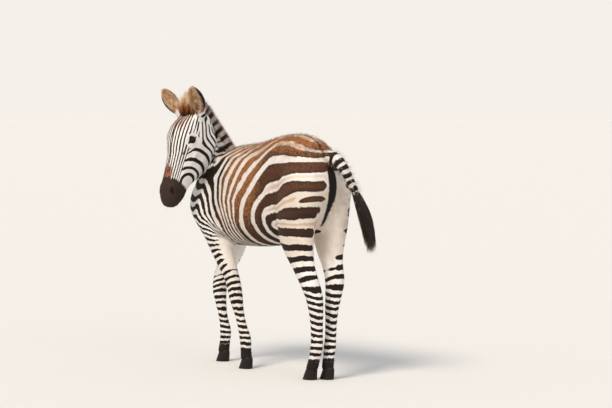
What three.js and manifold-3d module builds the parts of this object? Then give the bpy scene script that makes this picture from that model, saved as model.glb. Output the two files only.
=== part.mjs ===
// A young plains zebra, standing, as a life-size still model.
// It faces -X and is upright along +Z. Its left side is -Y. Units are millimetres.
// The flesh is lofted in rings along the spine, neck, head and limbs, and parted where a keeper would
// name its parts, with a thin gap between neighbours. The origin is under the middle of the whole.
import * as THREE from "three";
import { mergeVertices } from "three/addons/utils/BufferGeometryUtils.js";
import Module from "manifold-3d";

const wasm = await Module();
wasm.setup();

// ---- driving sizes -------------------------------------------------------------------------------
const GAP = 0.35; // clear space between neighbouring parts
const TRUNK_SIDES = 16;
const LIMB_SIDES = 10;
const HEAD_SIDES = 16;

const SPINE_BULGE = 22; // the spine bows to the right, so that the animal is hollow on its left
const SPINE_MIDDLE = -480;
const SPINE_BEND = 1.15e-4; // bow per mm squared from the middle

const HEAD_SCALE = 1.065; // the head's own measures below are for a head of 452 mm
const POLL = new THREE.Vector3(-876, -206, 1240);
const HEAD_TURN = 98; // degrees that the face is turned to the left of straight ahead
const HEAD_DROP = 69; // degrees that the face line points below level

const EYE_RADIUS = 21;
const EAR_LENGTH = 166;
const MANE_HEIGHT = 58;
const HOOF = { length: 80, width: 60, height: 44, lean: 0.32 };

// ---- solids --------------------------------------------------------------------------------------
const up = new THREE.Vector3(0, 0, 1);
const down = new THREE.Vector3(0, 0, -1);
const right = new THREE.Vector3(0, 1, 0);
const radians = THREE.MathUtils.degToRad;

// One ring of a loft: its middle, and how far it reaches sideways, to the upper or front side, and to
// the under or rear side. pear widens the under side, and square below 1 makes the ring boxier. A ring
// is square to the run of its loft, or flat when it is level.
function ring(middle, wide, over, under, shape = {}) {
  const { pear = 0, square = 1, side = right, level = false } = shape;
  return { middle: new THREE.Vector3(...middle), sizes: [wide, over, under, pear, square], side, level };
}

// Smooth values between listed ones, at t from 0 to 1.
function smooth(values, t) {
  const place = t * (values.length - 1);
  const i = Math.min(values.length - 2, Math.floor(place));
  const at = (k) => values[THREE.MathUtils.clamp(k, 0, values.length - 1)];
  const s = place - i;
  const before = (at(i + 1) - at(i - 1)) / 2;
  const after = (at(i + 2) - at(i)) / 2;
  const rise = at(i + 1) - at(i);
  return at(i) + s * (before + s * (3 * rise - 2 * before - after + s * (before + after - 2 * rise)));
}

// The place, direction and section of a loft at t from 0 to 1.
function sectionAt(rings, t) {
  const path = new THREE.CatmullRomCurve3(rings.map((r) => r.middle));
  const along = rings[0].level ? down.clone() : path.getTangent(t).normalize();
  const place = t * (rings.length - 1);
  const i = Math.min(rings.length - 2, Math.floor(place));
  const side = rings[i].side.clone().lerp(rings[i + 1].side, place - i);
  side.addScaledVector(along, -side.dot(along)).normalize();
  const over = new THREE.Vector3().crossVectors(side, along);
  const sizes = [0, 1, 2, 3, 4].map((k) => smooth(rings.map((r) => r.sizes[k]), t));
  return { middle: path.getPoint(t), along, side, over, sizes };
}

const curved = (v, power) => Math.sign(v) * Math.abs(v) ** power;

// A closed solid through rings. Each end is flat, or rounded out by the given height.
function loft(rings, { sides = LIMB_SIDES, steps = rings.length * 2, ends = [0, 0], grow = 0 } = {}) {
  const points = [];
  const rows = [];
  const addRow = (t, shift, shrink) => {
    const { middle, along, side, over, sizes } = sectionAt(rings, t);
    const [wide, high, low, pear, square] = sizes;
    rows.push(points.length / 3);
    for (let k = 0; k < sides; k++) {
      const angle = (2 * Math.PI * k) / sides;
      const x = curved(Math.cos(angle), square) * (wide + grow) * (1 - pear * Math.sin(angle));
      const y = curved(Math.sin(angle), square) * ((Math.sin(angle) > 0 ? high : low) + grow);
      const p = middle.clone().addScaledVector(along, shift);
      p.addScaledVector(side, x * shrink).addScaledVector(over, y * shrink);
      points.push(p.x, p.y, p.z);
    }
  };
  const dome = [0.85, 0.6, 0.3]; // turns of the rounded ends, as shares of a quarter turn
  const turned = (share) => [Math.sin((share * Math.PI) / 2), Math.cos((share * Math.PI) / 2)];
  const caps = dome.map(turned);
  if (ends[0]) caps.forEach(([out, shrink]) => addRow(0, -out * ends[0], shrink));
  for (let k = 0; k <= steps; k++) addRow(k / steps, (k ? 1 : -1) * (k % steps ? 0 : grow), 1);
  if (ends[1]) caps.reverse().forEach(([out, shrink]) => addRow(1, out * ends[1], shrink));
  const tips = [0, 1].map((t) => {
    const { middle, along } = sectionAt(rings, t);
    const p = middle.clone().addScaledVector(along, (t ? 1 : -1) * (ends[t] + grow));
    return points.push(p.x, p.y, p.z) / 3 - 1;
  });
  const index = [];
  for (let k = 0; k < sides; k++) {
    const next = (k + 1) % sides;
    for (let r = 0; r + 1 < rows.length; r++) {
      const [a, b] = [rows[r], rows[r + 1]];
      index.push(a + k, b + k, a + next, a + next, b + k, b + next);
    }
    index.push(tips[0], rows[0] + k, rows[0] + next);
    index.push(tips[1], rows.at(-1) + next, rows.at(-1) + k);
  }
  const geometry = new THREE.BufferGeometry();
  geometry.setAttribute("position", new THREE.Float32BufferAttribute(points, 3));
  geometry.setIndex(index);
  return solid(geometry);
}

// A three.js geometry as a manifold-3d solid, facing out.
function solid(geometry) {
  const bare = geometry.clone();
  bare.deleteAttribute("normal");
  bare.deleteAttribute("uv");
  const merged = mergeVertices(bare, 1e-3);
  const corners = new Uint32Array(merged.index.array);
  const make = () =>
    new wasm.Manifold(
      new wasm.Mesh({ numProp: 3, vertProperties: merged.attributes.position.array, triVerts: corners }),
    );
  const made = make();
  if (made.volume() > 0) return made;
  corners.reverse(); // the same triangles, each turned over
  return make();
}

const joined = (solids) => solids.reduce((a, b) => a.add(b));
const cutBy = (whole, ...cutters) => cutters.reduce((a, b) => a.subtract(b), whole);

// The one largest body of a solid, without the slivers that a cut can leave.
function largest(whole) {
  return whole.decompose().sort((a, b) => b.volume() - a.volume())[0];
}

function ball(centre, radii, turn = new THREE.Quaternion(), grow = 0) {
  const geometry = new THREE.IcosahedronGeometry(1, 2);
  geometry.scale(...radii.map((r) => r + grow));
  geometry.applyQuaternion(turn);
  geometry.translate(centre.x, centre.y, centre.z);
  return solid(geometry);
}

// ---- trunk ---------------------------------------------------------------------------------------
// How far the spine lies to the right at a length along the body.
const spineSide = (x) => SPINE_BULGE - SPINE_BEND * (x - SPINE_MIDDLE) ** 2;

// Each ring: length along the body, back line, belly line, half width, height of the widest place.
const trunkRing = (x, back, belly, wide, widest, pear = 0.05, square = 0.94) =>
  ring([x, spineSide(x), widest], wide, back - widest, widest - belly, { pear, square });

const TRUNK = [
  trunkRing(34, 980, 836, 46, 902),
  trunkRing(4, 1042, 780, 92, 896),
  trunkRing(-54, 1102, 716, 136, 886),
  trunkRing(-130, 1130, 672, 154, 868),
  trunkRing(-230, 1131, 632, 162, 836),
  trunkRing(-340, 1108, 603, 174, 805),
  trunkRing(-470, 1082, 584, 186, 782),
  trunkRing(-600, 1067, 577, 184, 770),
  trunkRing(-720, 1064, 582, 168, 772, 0.16),
  trunkRing(-800, 1052, 600, 150, 780, 0.24),
  trunkRing(-890, 996, 634, 134, 786, 0.18),
  trunkRing(-965, 930, 668, 116, 792, 0.08),
  trunkRing(-1015, 872, 706, 88, 790, 0.04),
];
const trunkLoft = (grow = 0) => loft(TRUNK, { sides: TRUNK_SIDES, steps: 16, ends: [24, 22], grow });

// ---- neck ----------------------------------------------------------------------------------------
const turnedSide = (degrees) => right.clone().applyAxisAngle(up, radians(degrees));
const NECK = [
  ring([-815, 2, 838], 114, 160, 160, { side: turnedSide(2), square: 0.95 }),
  ring([-872, 0, 905], 104, 130, 132, { side: turnedSide(8) }),
  ring([-918, -12, 975], 90, 102, 112, { side: turnedSide(24) }),
  ring([-944, -42, 1045], 77, 84, 94, { side: turnedSide(46) }),
  ring([-946, -88, 1108], 69, 74, 82, { side: turnedSide(72) }),
  ring([-926, -136, 1158], 62, 66, 72, { side: turnedSide(90) }),
  ring([-900, -172, 1194], 56, 56, 62, { side: turnedSide(98) }),
];
const neckLoft = (grow = 0) => loft(NECK, { sides: 12, steps: 9, ends: [30, 18], grow });

// ---- head ----------------------------------------------------------------------------------------
// The head is set out on its own axes: right, up from the brow, and forward along the face line.
const facing = new THREE.Vector3(-1, 0, 0).applyAxisAngle(up, radians(HEAD_TURN));
const headRight = new THREE.Vector3().crossVectors(facing, up);
const faceLine = facing.clone().multiplyScalar(Math.cos(radians(HEAD_DROP)));
faceLine.z = -Math.sin(radians(HEAD_DROP));
const browUp = new THREE.Vector3().crossVectors(headRight, faceLine);
const headTurn = new THREE.Quaternion().setFromRotationMatrix(
  new THREE.Matrix4().makeBasis(headRight, faceLine, browUp),
);
const onHead = (side, along, above) => {
  const place = headRight.clone().multiplyScalar(side);
  place.addScaledVector(faceLine, along).addScaledVector(browUp, above);
  return place.multiplyScalar(HEAD_SCALE).add(POLL);
};

// Each ring: distance down the face, height of the brow or nose line and of the jaw line, half width.
function headRing(along, brow, jaw, wide, pear = 0, square = 0.9) {
  const widest = brow - (brow - jaw) * 0.42;
  const reach = [wide, brow - widest, widest - jaw].map((size) => size * HEAD_SCALE);
  return ring(onHead(0, along, widest).toArray(), ...reach, {
    pear,
    square,
    side: headRight,
  });
}
const HEAD = [
  headRing(6, -8, -92, 48, 0, 0.95),
  headRing(36, 10, -150, 66, -0.06),
  headRing(78, 24, -190, 76, -0.08, 0.86),
  headRing(122, 27, -205, 80, -0.06, 0.84),
  headRing(165, 23, -214, 76, -0.04, 0.82),
  headRing(210, 16, -208, 64, 0, 0.84),
  headRing(256, 8, -176, 55, 0, 0.86),
  headRing(310, 1, -144, 49, 0.02, 0.9),
  headRing(355, -5, -128, 47, 0.04, 0.88),
  headRing(395, -13, -122, 49, 0.02, 0.86),
  headRing(424, -28, -114, 44, -0.04, 0.86),
  headRing(440, -44, -104, 35, -0.06, 0.88),
];
const headLoft = (grow = 0) =>
  loft(HEAD, { sides: HEAD_SIDES, steps: 14, ends: [16, 14], grow });

// The bony rim over each eye, and the round cheek muscle behind and below it.
const browRim = (way, grow = 0) => ball(onHead(way * 48, 132, -16), [31, 46, 28], headTurn, grow);
const cheek = (way, grow = 0) => ball(onHead(way * 38, 126, -124), [41, 84, 72], headTurn, grow);
const EYE_PLACE = (way) => onHead(way * 62, 144, -36);
const eyeBall = (way, grow = 0) => ball(EYE_PLACE(way), [EYE_RADIUS, EYE_RADIUS, EYE_RADIUS], headTurn, grow);

const headMass = (grow = 0) =>
  joined([headLoft(grow), browRim(-1, grow), browRim(1, grow), cheek(-1, grow), cheek(1, grow)]);

// ---- ears ----------------------------------------------------------------------------------------
// A cupped leaf. lean tips it outwards, and twist turns its open side from the front to the outside.
function earSolid(way, lean, back, twist, grow = 0) {
  const root = onHead(way * 68, 14, -40);
  const tip = headRight.clone().multiplyScalar(way * Math.sin(radians(lean)));
  tip.addScaledVector(faceLine, -Math.cos(radians(lean)) * Math.cos(radians(back)));
  tip.addScaledVector(browUp, -Math.cos(radians(lean)) * Math.sin(radians(back))).normalize();
  const side = headRight.clone().applyAxisAngle(tip, radians(-way * twist));
  const at = (share, bow = 0) =>
    root.clone().addScaledVector(tip, share * EAR_LENGTH).addScaledVector(headRight, way * bow).toArray();
  const leaf = [
    ring(at(-0.12), 22, 22, 22, { side }),
    ring(at(0.1, 2), 27, 22, 24, { side }),
    ring(at(0.35, 7), 38, 16, 25, { side }),
    ring(at(0.6, 9), 38, 11, 22, { side }),
    ring(at(0.82, 6), 27, 7, 14, { side }),
    ring(at(0.96, 1), 12, 3, 7, { side }),
  ];
  const shell = loft(leaf, { sides: 8, steps: 6, ends: [4, 6], grow });
  if (grow) return shell;
  const front = new THREE.Vector3().crossVectors(side, tip).multiplyScalar(-1);
  const cup = (share, wide, deep, out) => {
    const centre = new THREE.Vector3(...at(share, share * 11)).addScaledVector(front, out);
    return ring(centre.toArray(), wide, deep, deep, { side });
  };
  const hollow = [cup(0.16, 12, 11, 15), cup(0.35, 28, 18, 16), cup(0.6, 29, 15, 13), cup(0.84, 16, 8, 9)];
  return shell.subtract(loft(hollow, { sides: 8, steps: 3, ends: [6, 8] }));
}

// ---- fore legs -----------------------------------------------------------------------------------
// A leg is one run of level slices from its root in the trunk down to the pastern. The last is in the
// hoof. Each: place of its middle, half width, and how far it reaches forward and back.
const slice = (x, y, z, wide, front, back) => ring([x, y, z], wide, front, back, { level: true });
const FORE_LEFT = [
  slice(-840, -40, 952, 28, 48, 70),
  slice(-874, -60, 875, 48, 80, 116),
  slice(-885, -88, 785, 66, 122, 130),
  slice(-826, -102, 705, 66, 112, 112),
  slice(-766, -102, 632, 58, 82, 94),
  slice(-732, -94, 556, 48, 68, 70),
  slice(-692, -84, 476, 40, 54, 54),
  slice(-652, -76, 400, 33, 39, 37),
  slice(-644, -72, 346, 34, 37, 35),
  slice(-634, -68, 296, 27, 29, 29),
  slice(-618, -63, 240, 21, 23, 28),
  slice(-604, -57, 185, 22, 23, 31),
  slice(-592, -53, 148, 26, 28, 38),
  slice(-592, -50, 104, 23, 25, 32),
  slice(-590, -48, 62, 26, 29, 32),
  slice(-588, -47, 30, 23, 23, 25),
];
const FORE_RIGHT = [
  slice(-860, 54, 958, 34, 60, 80),
  slice(-915, 70, 875, 56, 98, 128),
  slice(-936, 78, 785, 68, 112, 126),
  slice(-900, 80, 705, 66, 108, 114),
  slice(-868, 74, 632, 58, 90, 98),
  slice(-870, 62, 556, 51, 82, 86),
  slice(-892, 44, 476, 43, 68, 68),
  slice(-920, 22, 400, 35, 43, 42),
  slice(-914, 12, 346, 34, 37, 35),
  slice(-908, 14, 296, 27, 29, 29),
  slice(-902, 19, 240, 21, 23, 28),
  slice(-892, 25, 185, 22, 23, 29),
  slice(-888, 29, 148, 26, 28, 35),
  slice(-896, 30, 104, 23, 25, 30),
  slice(-906, 30, 62, 26, 29, 33),
  slice(-908, 30, 30, 23, 23, 25),
];
const FORE_PARTING = 372; // height where the forearm ends above the knee

// ---- hind legs -----------------------------------------------------------------------------------
const HIND_LEFT = [
  slice(-98, -50, 1000, 44, 52, 54),
  slice(-80, -82, 950, 78, 108, 122),
  slice(-78, -90, 880, 86, 124, 136),
  slice(-86, -93, 805, 84, 122, 138),
  slice(-104, -94, 735, 76, 112, 132),
  slice(-114, -94, 670, 68, 104, 122),
  slice(-104, -91, 606, 60, 98, 108),
  slice(-80, -87, 548, 50, 78, 82),
  slice(-50, -81, 494, 42, 70, 66),
  slice(-24, -76, 446, 40, 66, 52),
  slice(-2, -70, 398, 37, 54, 48),
  slice(2, -62, 336, 32, 42, 42),
  slice(-2, -55, 270, 27, 32, 35),
  slice(-8, -49, 205, 25, 28, 33),
  slice(-16, -45, 160, 27, 30, 37),
  slice(-32, -42, 112, 24, 27, 32),
  slice(-54, -40, 66, 26, 30, 34),
  slice(-68, -40, 30, 23, 23, 25),
];
const HIND_RIGHT = [
  slice(-98, 50, 1000, 44, 52, 54),
  slice(-74, 80, 950, 76, 108, 116),
  slice(-92, 84, 880, 84, 122, 132),
  slice(-102, 86, 805, 82, 116, 132),
  slice(-100, 86, 735, 74, 106, 122),
  slice(-92, 84, 670, 66, 98, 108),
  slice(-92, 78, 606, 58, 88, 92),
  slice(-72, 76, 548, 48, 70, 74),
  slice(-46, 74, 494, 41, 62, 60),
  slice(-28, 69, 446, 39, 60, 50),
  slice(-24, 60, 398, 36, 50, 44),
  slice(-26, 49, 336, 30, 38, 37),
  slice(-24, 42, 270, 26, 29, 32),
  slice(-18, 35, 205, 24, 27, 31),
  slice(-16, 29, 160, 26, 29, 35),
  slice(-22, 28, 112, 24, 27, 31),
  slice(-30, 27, 66, 26, 29, 33),
  slice(-30, 28, 30, 23, 23, 25),
];
const HIND_PARTING = 520; // height where the gaskin ends above the hock

const legLoft = (rings, grow = 0) => loft(rings, { sides: LIMB_SIDES, steps: 18, ends: [28, 0], grow });

// The heel bone stands up behind the hock, with the tendon above it.
function heelBone(rings, grow = 0) {
  const hock = rings[9].middle;
  const bone = [
    ring([hock.x + 18, hock.y, hock.z - 26], 20, 20, 22),
    ring([hock.x + 33, hock.y, hock.z + 22], 17, 18, 17),
    ring([hock.x + 27, hock.y - 2, hock.z + 78], 9, 14, 10),
  ].reverse();
  return loft(bone, { sides: 8, steps: 4, ends: [10, 10], grow });
}

// A big box that holds everything above a level, to part a leg across.
function above(level) {
  const box = new THREE.BoxGeometry(3000, 3000, 3000);
  box.translate(0, 0, level + 1500);
  return solid(box);
}

// ---- hooves --------------------------------------------------------------------------------------
// A cone cut short, oval in plan, whose wall slopes back as it rises. Its sole is flat on the floor.
function hoofSolid(rings, grow = 0) {
  const { length, width, height, lean } = HOOF;
  const toe = rings.at(-1).middle;
  const cone = new THREE.CylinderGeometry(0.4 + grow / width, 0.5 + grow / width, height + grow, 16);
  cone.rotateX(Math.PI / 2);
  cone.scale(length, width, 1);
  cone.translate(0, 0, (height + grow) / 2);
  cone.applyMatrix4(new THREE.Matrix4().makeShear(0, 0, 0, 0, lean, 0));
  cone.translate(toe.x - 6, toe.y, 0);
  return solid(cone);
}

// ---- mane, forelock and tail ---------------------------------------------------------------------
// The mane stands on the crest of the neck, from the withers to between the ears.
function maneRings() {
  const shares = [0.06, 0.24, 0.42, 0.6, 0.78, 0.94];
  const heights = [0.2, 0.42, 0.66, 0.88, 1, 0.86].map((share) => share * MANE_HEIGHT);
  return shares.map((t, k) => {
    const { middle, side, over, sizes } = sectionAt(NECK, t);
    const root = middle.clone().addScaledVector(over, sizes[1] - 4);
    return ring(root.toArray(), 15, heights[k], 26, { side, square: 0.8 });
  });
}
const maneSolid = () => loft(maneRings(), { sides: 8, steps: 12, ends: [24, 6] });

// The forelock is a thick upright tuft on the poll, in line with the mane.
function forelockSolid(grow = 0) {
  const tuft = [
    ring(onHead(2, 34, -12).toArray(), 24, 18, 16, { side: headRight }),
    ring(onHead(6, 2, 0).toArray(), 36, 30, 44, { side: headRight }),
    ring(onHead(12, -36, 8).toArray(), 34, 24, 48, { side: headRight }),
    ring(onHead(18, -66, 2).toArray(), 20, 12, 30, { side: headRight }),
  ];
  return loft(tuft, { sides: 10, steps: 6, ends: [8, 12], grow });
}

const TAIL = [
  ring([22, 0, 1018], 34, 30, 34),
  ring([76, 8, 1000], 30, 26, 28),
  ring([110, 26, 950], 25, 22, 23),
  ring([128, 52, 886], 20, 18, 19),
  ring([138, 82, 818], 16, 15, 16),
  ring([142, 108, 760], 14, 14, 14),
];
const TUFT = [
  ring([141, 98, 784], 15, 15, 15),
  ring([143, 116, 738], 25, 22, 22),
  ring([142, 132, 688], 29, 24, 24),
  ring([138, 144, 638], 24, 20, 20),
  ring([134, 150, 596], 13, 12, 12),
];
const tailLoft = (grow = 0) => loft(TAIL, { sides: 8, steps: 9, ends: [10, 6], grow });
const tuftLoft = () => loft(TUFT, { sides: 10, steps: 6, ends: [4, 22] });

// ---- looks ---------------------------------------------------------------------------------------
const finish = (color, roughness) => new THREE.MeshStandardMaterial({ color, roughness, metalness: 0 });
const COAT = finish("#c9bcae", 0.9);
const MANE_HAIR = finish("#7a5238", 0.95);
const TAIL_HAIR = finish("#1c1613", 0.9);
const HORN = finish("#231d1a", 0.6);
const EYE = finish("#120d0b", 0.15);

// ---- assembly ------------------------------------------------------------------------------------
const zebra = new THREE.Group();

function place(name, whole, material) {
  const mesh = largest(whole).getMesh();
  const geometry = new THREE.BufferGeometry();
  geometry.setAttribute("position", new THREE.BufferAttribute(mesh.vertProperties, 3));
  geometry.setIndex(new THREE.BufferAttribute(mesh.triVerts, 1));
  const part = new THREE.Mesh(geometry, material);
  part.name = name;
  zebra.add(part);
}

const legs = [
  { name: "fore_left", rings: FORE_LEFT, parting: FORE_PARTING },
  { name: "fore_right", rings: FORE_RIGHT, parting: FORE_PARTING },
  { name: "hind_left", rings: HIND_LEFT, parting: HIND_PARTING, heel: true },
  { name: "hind_right", rings: HIND_RIGHT, parting: HIND_PARTING, heel: true },
];
const legMass = ({ rings, heel }, grow = 0) =>
  heel ? legLoft(rings, grow).add(heelBone(rings, grow)) : legLoft(rings, grow);

const headGrown = headMass(GAP);
const legsGrown = legs.map((leg) => legMass(leg, GAP));
for (const leg of legs) {
  const shank = cutBy(legMass(leg), hoofSolid(leg.rings, GAP), headGrown);
  place("upper_" + leg.name, shank.intersect(above(leg.parting)), COAT);
  place("lower_" + leg.name, shank.subtract(above(leg.parting - GAP)), COAT);
  place("hoof_" + leg.name, hoofSolid(leg.rings), HORN);
}

place("trunk", cutBy(trunkLoft(), ...legsGrown, headGrown, neckLoft(GAP), tailLoft(GAP)), COAT);
place("neck", cutBy(neckLoft(), ...legsGrown, headGrown), COAT);

const ears = [
  { name: "ear_left", way: -1, lean: 14, back: -56, twist: 34 },
  { name: "ear_right", way: 1, lean: 44, back: -32, twist: -30 },
];
const earCut = ({ way, lean, back, twist }) => earSolid(way, lean, back, twist, GAP);
const earsGrown = ears.map(earCut);
const eyesGrown = [-1, 1].map((way) => eyeBall(way, GAP));
place("head", cutBy(headMass(), ...eyesGrown, ...earsGrown, forelockSolid(GAP)), COAT);
for (const ear of ears) {
  const { name, way, lean, back, twist } = ear;
  place(name, cutBy(earSolid(way, lean, back, twist), neckLoft(GAP), forelockSolid(GAP)), COAT);
}
place("eye_left", eyeBall(-1), EYE);
place("eye_right", eyeBall(1), EYE);
place("forelock", forelockSolid(), MANE_HAIR);

const maneNeighbours = [neckLoft(GAP), trunkLoft(GAP), headGrown, forelockSolid(GAP), ...earsGrown];
place("mane", cutBy(maneSolid(), ...maneNeighbours), MANE_HAIR);
place("tail", cutBy(tailLoft(), ...legsGrown), COAT);
place("tail_tuft", cutBy(tuftLoft(), tailLoft(GAP), ...legsGrown), TAIL_HAIR);

// The origin is on the floor, under the middle of the whole animal.
const extent = new THREE.Box3().setFromObject(zebra);
const middle = extent.getCenter(new THREE.Vector3());
zebra.children.forEach((part) => part.geometry.translate(-middle.x, -middle.y, -extent.min.z));

export default zebra;
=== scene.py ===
import math

import bmesh
import bpy
import numpy as np
from mathutils import Matrix, Vector
from mathutils.bvhtree import BVHTree


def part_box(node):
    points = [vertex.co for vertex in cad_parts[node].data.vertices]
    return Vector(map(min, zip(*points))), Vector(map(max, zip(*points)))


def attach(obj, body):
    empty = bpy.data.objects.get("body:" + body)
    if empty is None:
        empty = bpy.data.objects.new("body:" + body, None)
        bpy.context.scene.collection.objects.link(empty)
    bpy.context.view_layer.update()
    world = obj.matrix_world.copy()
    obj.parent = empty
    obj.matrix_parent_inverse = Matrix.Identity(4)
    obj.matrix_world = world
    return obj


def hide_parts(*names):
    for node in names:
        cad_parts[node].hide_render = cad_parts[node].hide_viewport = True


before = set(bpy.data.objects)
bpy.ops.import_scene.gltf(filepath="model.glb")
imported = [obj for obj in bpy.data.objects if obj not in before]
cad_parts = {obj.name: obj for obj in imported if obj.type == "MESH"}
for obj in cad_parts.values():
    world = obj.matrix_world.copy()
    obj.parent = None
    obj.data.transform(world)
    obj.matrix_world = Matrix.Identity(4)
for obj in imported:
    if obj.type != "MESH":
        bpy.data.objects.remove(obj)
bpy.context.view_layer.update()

# ---- The floor -----------------------------------------------------------------------------------
# A young plains zebra stands on a plain pale floor. The floor is one flat sheet, painted matt, and so
# wide that its far edge can't be told from the backdrop.
FLOOR_SIZE = 400.0


def linear(value):
    """A colour written as sRGB hex, as the linear values that Blender works with."""
    shares = [int(value[i : i + 2], 16) / 255 for i in (1, 3, 5)]
    return tuple(c / 12.92 if c <= 0.04045 else ((c + 0.055) / 1.055) ** 2.4 for c in shares) + (1.0,)


def add(tree, kind, inputs=None, **settings):
    """Adds a node. inputs gives each named or numbered input a value, a hex colour, a node or an output."""
    node = tree.nodes.new(kind)
    for name, value in settings.items():
        setattr(node, name, value)
    for name, value in (inputs or {}).items():
        if isinstance(value, str):
            value = linear(value)
        if isinstance(value, bpy.types.Node):
            value = next(output for output in value.outputs if output.enabled)
        if isinstance(value, bpy.types.NodeSocket):
            tree.links.new(value, node.inputs[name])
        else:
            node.inputs[name].default_value = value
    return node


def new_material(name):
    """An empty material, and the tree to build it in."""
    material = bpy.data.materials.new(name)
    material.use_nodes = True
    material.node_tree.nodes.clear()
    return material, material.node_tree


def new_object(name, mesh, *materials):
    """An object at the origin, with smooth faces, in the scene."""
    piece = bpy.data.objects.new(name, mesh)
    bpy.context.scene.collection.objects.link(piece)
    for material in materials:
        mesh.materials.append(material)
    mesh.shade_smooth()
    return piece


# Matt paint: pale and without shine, so that only the animal's soft shadow shows on it.
floor_paint, tree = new_material("plain_pale_floor")
shade = add(tree, "ShaderNodeBsdfPrincipled", {"Base Color": "#e9e6e1", "Roughness": 0.9})
add(tree, "ShaderNodeOutputMaterial", {"Surface": shade})

bm = bmesh.new()
bmesh.ops.create_grid(bm, x_segments=1, y_segments=1, size=FLOOR_SIZE / 2)
floor_mesh = bpy.data.meshes.new("floor")
bm.to_mesh(floor_mesh)
bm.free()
new_object("floor", floor_mesh, floor_paint)

# ---- The light -----------------------------------------------------------------------------------
# A bright soft room lights the animal evenly, with a broad sun from its left and a weaker one from
# behind its tail. The backdrop is as bright as the lit floor, so that no line shows between the two.
ROOM_COLOUR, ROOM_STRENGTH = "#e6ebf2", 0.62
BACKDROP_COLOUR = "#f5f0e9"
SUNS = {  # strength, colour, the way that it shines, and how wide it looks, in radians
    "key_sun": (2.3, "#fff4e6", (-0.25, 0.62, -0.75), 0.35),
    "tail_sun": (0.7, "#f2f5ff", (-0.9, 0.1, -0.35), 0.8),
}
world = bpy.data.worlds.new("soft_room")
bpy.context.scene.world = world
world.use_nodes = True
tree = world.node_tree
tree.nodes.clear()
rays = add(tree, "ShaderNodeLightPath").outputs
inputs = {0: rays["Is Camera Ray"], 1: rays["Is Glossy Ray"]}
seen = add(tree, "ShaderNodeMath", inputs, operation="MAXIMUM")
room = add(tree, "ShaderNodeBackground", {"Color": ROOM_COLOUR, "Strength": ROOM_STRENGTH})
backdrop = add(tree, "ShaderNodeBackground", {"Color": BACKDROP_COLOUR, "Strength": 1.0})
either = add(tree, "ShaderNodeMixShader", {0: seen, 1: room, 2: backdrop})
add(tree, "ShaderNodeOutputWorld", {"Surface": either})

for name, (strength, colour, way, width) in SUNS.items():
    lamp = bpy.data.lights.new(name, "SUN")
    lamp.energy = strength
    lamp.color = linear(colour)[:3]
    lamp.angle = width
    sun = bpy.data.objects.new(name, lamp)
    sun.rotation_euler = Vector(way).to_track_quat("-Z", "Y").to_euler()
    bpy.context.scene.collection.objects.link(sun)

# ---- The view ------------------------------------------------------------------------------------
# The animal is seen from behind its left side, from ten metres away and a little below its ears. Its
# own measures start on the ground under its tail, and are found from the right hind hoof.
HOOF_LENGTH = 0.080
START_FROM_HOOF = (0.036, -0.028, 0)
VIEW_TURN = math.radians(55)  # from the animal's length, towards its tail
VIEW_DISTANCE = 9.949
VIEW_ASIDE = 0.0936  # how far right of the view's middle the start lies
VIEW_HEIGHT = 1.25
VIEW_DROP = math.atan(0.045)
FILM_WIDTH = 36.0  # in millimetres, as is the lens
LENS = 129.41

hoof_low, hoof_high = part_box("hoof_hind_right")
right_hind = Vector((hoof_low.x + HOOF_LENGTH / 2, (hoof_low.y + hoof_high.y) / 2, 0))
ANIMAL = right_hind + Vector(START_FROM_HOOF)
view_right = Vector((math.cos(VIEW_TURN), math.sin(VIEW_TURN), 0))
view_ahead = Vector((-math.sin(VIEW_TURN), math.cos(VIEW_TURN), 0))
camera = bpy.data.cameras.new("camera")
camera.sensor_width = FILM_WIDTH
camera.lens = LENS
camera.clip_end = 200
camera_object = bpy.data.objects.new("camera", camera)
camera_object.location = ANIMAL - view_ahead * VIEW_DISTANCE - view_right * VIEW_ASIDE
camera_object.location.z = VIEW_HEIGHT
sight = view_ahead * math.cos(VIEW_DROP) - Vector((0, 0, math.sin(VIEW_DROP)))
camera_object.rotation_euler = sight.to_track_quat("-Z", "Y").to_euler()
bpy.context.scene.collection.objects.link(camera_object)
bpy.context.scene.camera = camera_object
bpy.context.scene.view_settings.view_transform = "Standard"

# ---- The skin ------------------------------------------------------------------------------------
# One soft skin replaces all the solids of flesh, from the ears to the pasterns, without a seam. It is
# drawn over them as a fine net, and smoothed where they join. It ends within about a millimetre of
# their surface, and the coat stands up to three millimetres past it on the trunk.
CELL = 0.0032  # spacing of the skin's points before it is thinned
OVERLAP = 0.0012  # the solids are swollen by this, so that the thin gaps between them close
FLESH = [n for n in sorted(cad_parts) if n.startswith(("upper_", "lower_", "ear_"))]
FLESH += ["trunk", "neck", "head", "tail"]


def smooth_step(low, high, value):
    """0 below low, 1 above high, and a soft rise between. low may be the larger."""
    share = np.clip((value - low) / (high - low), 0, 1)
    return share * share * (3 - 2 * share)


def soft_peak(value):
    """1 at zero, fading softly to 0 on both sides by about 2."""
    return np.exp(-np.square(value))


def unit(vectors):
    """Vectors made 1 long."""
    return vectors / np.maximum(np.linalg.norm(vectors, axis=-1, keepdims=True), 1e-9)


def merged_copy(bm, node, swell=0.0):
    """Adds a CAD node to a bmesh with its shared corners merged, swollen by a distance."""
    copy = bmesh.new()
    copy.from_mesh(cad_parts[node].data)
    bmesh.ops.remove_doubles(copy, verts=copy.verts, dist=1e-5)
    copy.normal_update()
    for vert in copy.verts:
        vert.co += vert.normal * swell
    mesh = bpy.data.meshes.new("copy")
    copy.to_mesh(mesh)
    copy.free()
    bm.from_mesh(mesh)
    bpy.data.meshes.remove(mesh)


def evaluated_mesh(piece):
    """The mesh of an object with its modifiers applied. The object itself is removed."""
    graph = bpy.context.evaluated_depsgraph_get()
    mesh = bpy.data.meshes.new_from_object(piece.evaluated_get(graph), depsgraph=graph)
    bpy.data.objects.remove(piece)
    return mesh


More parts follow.
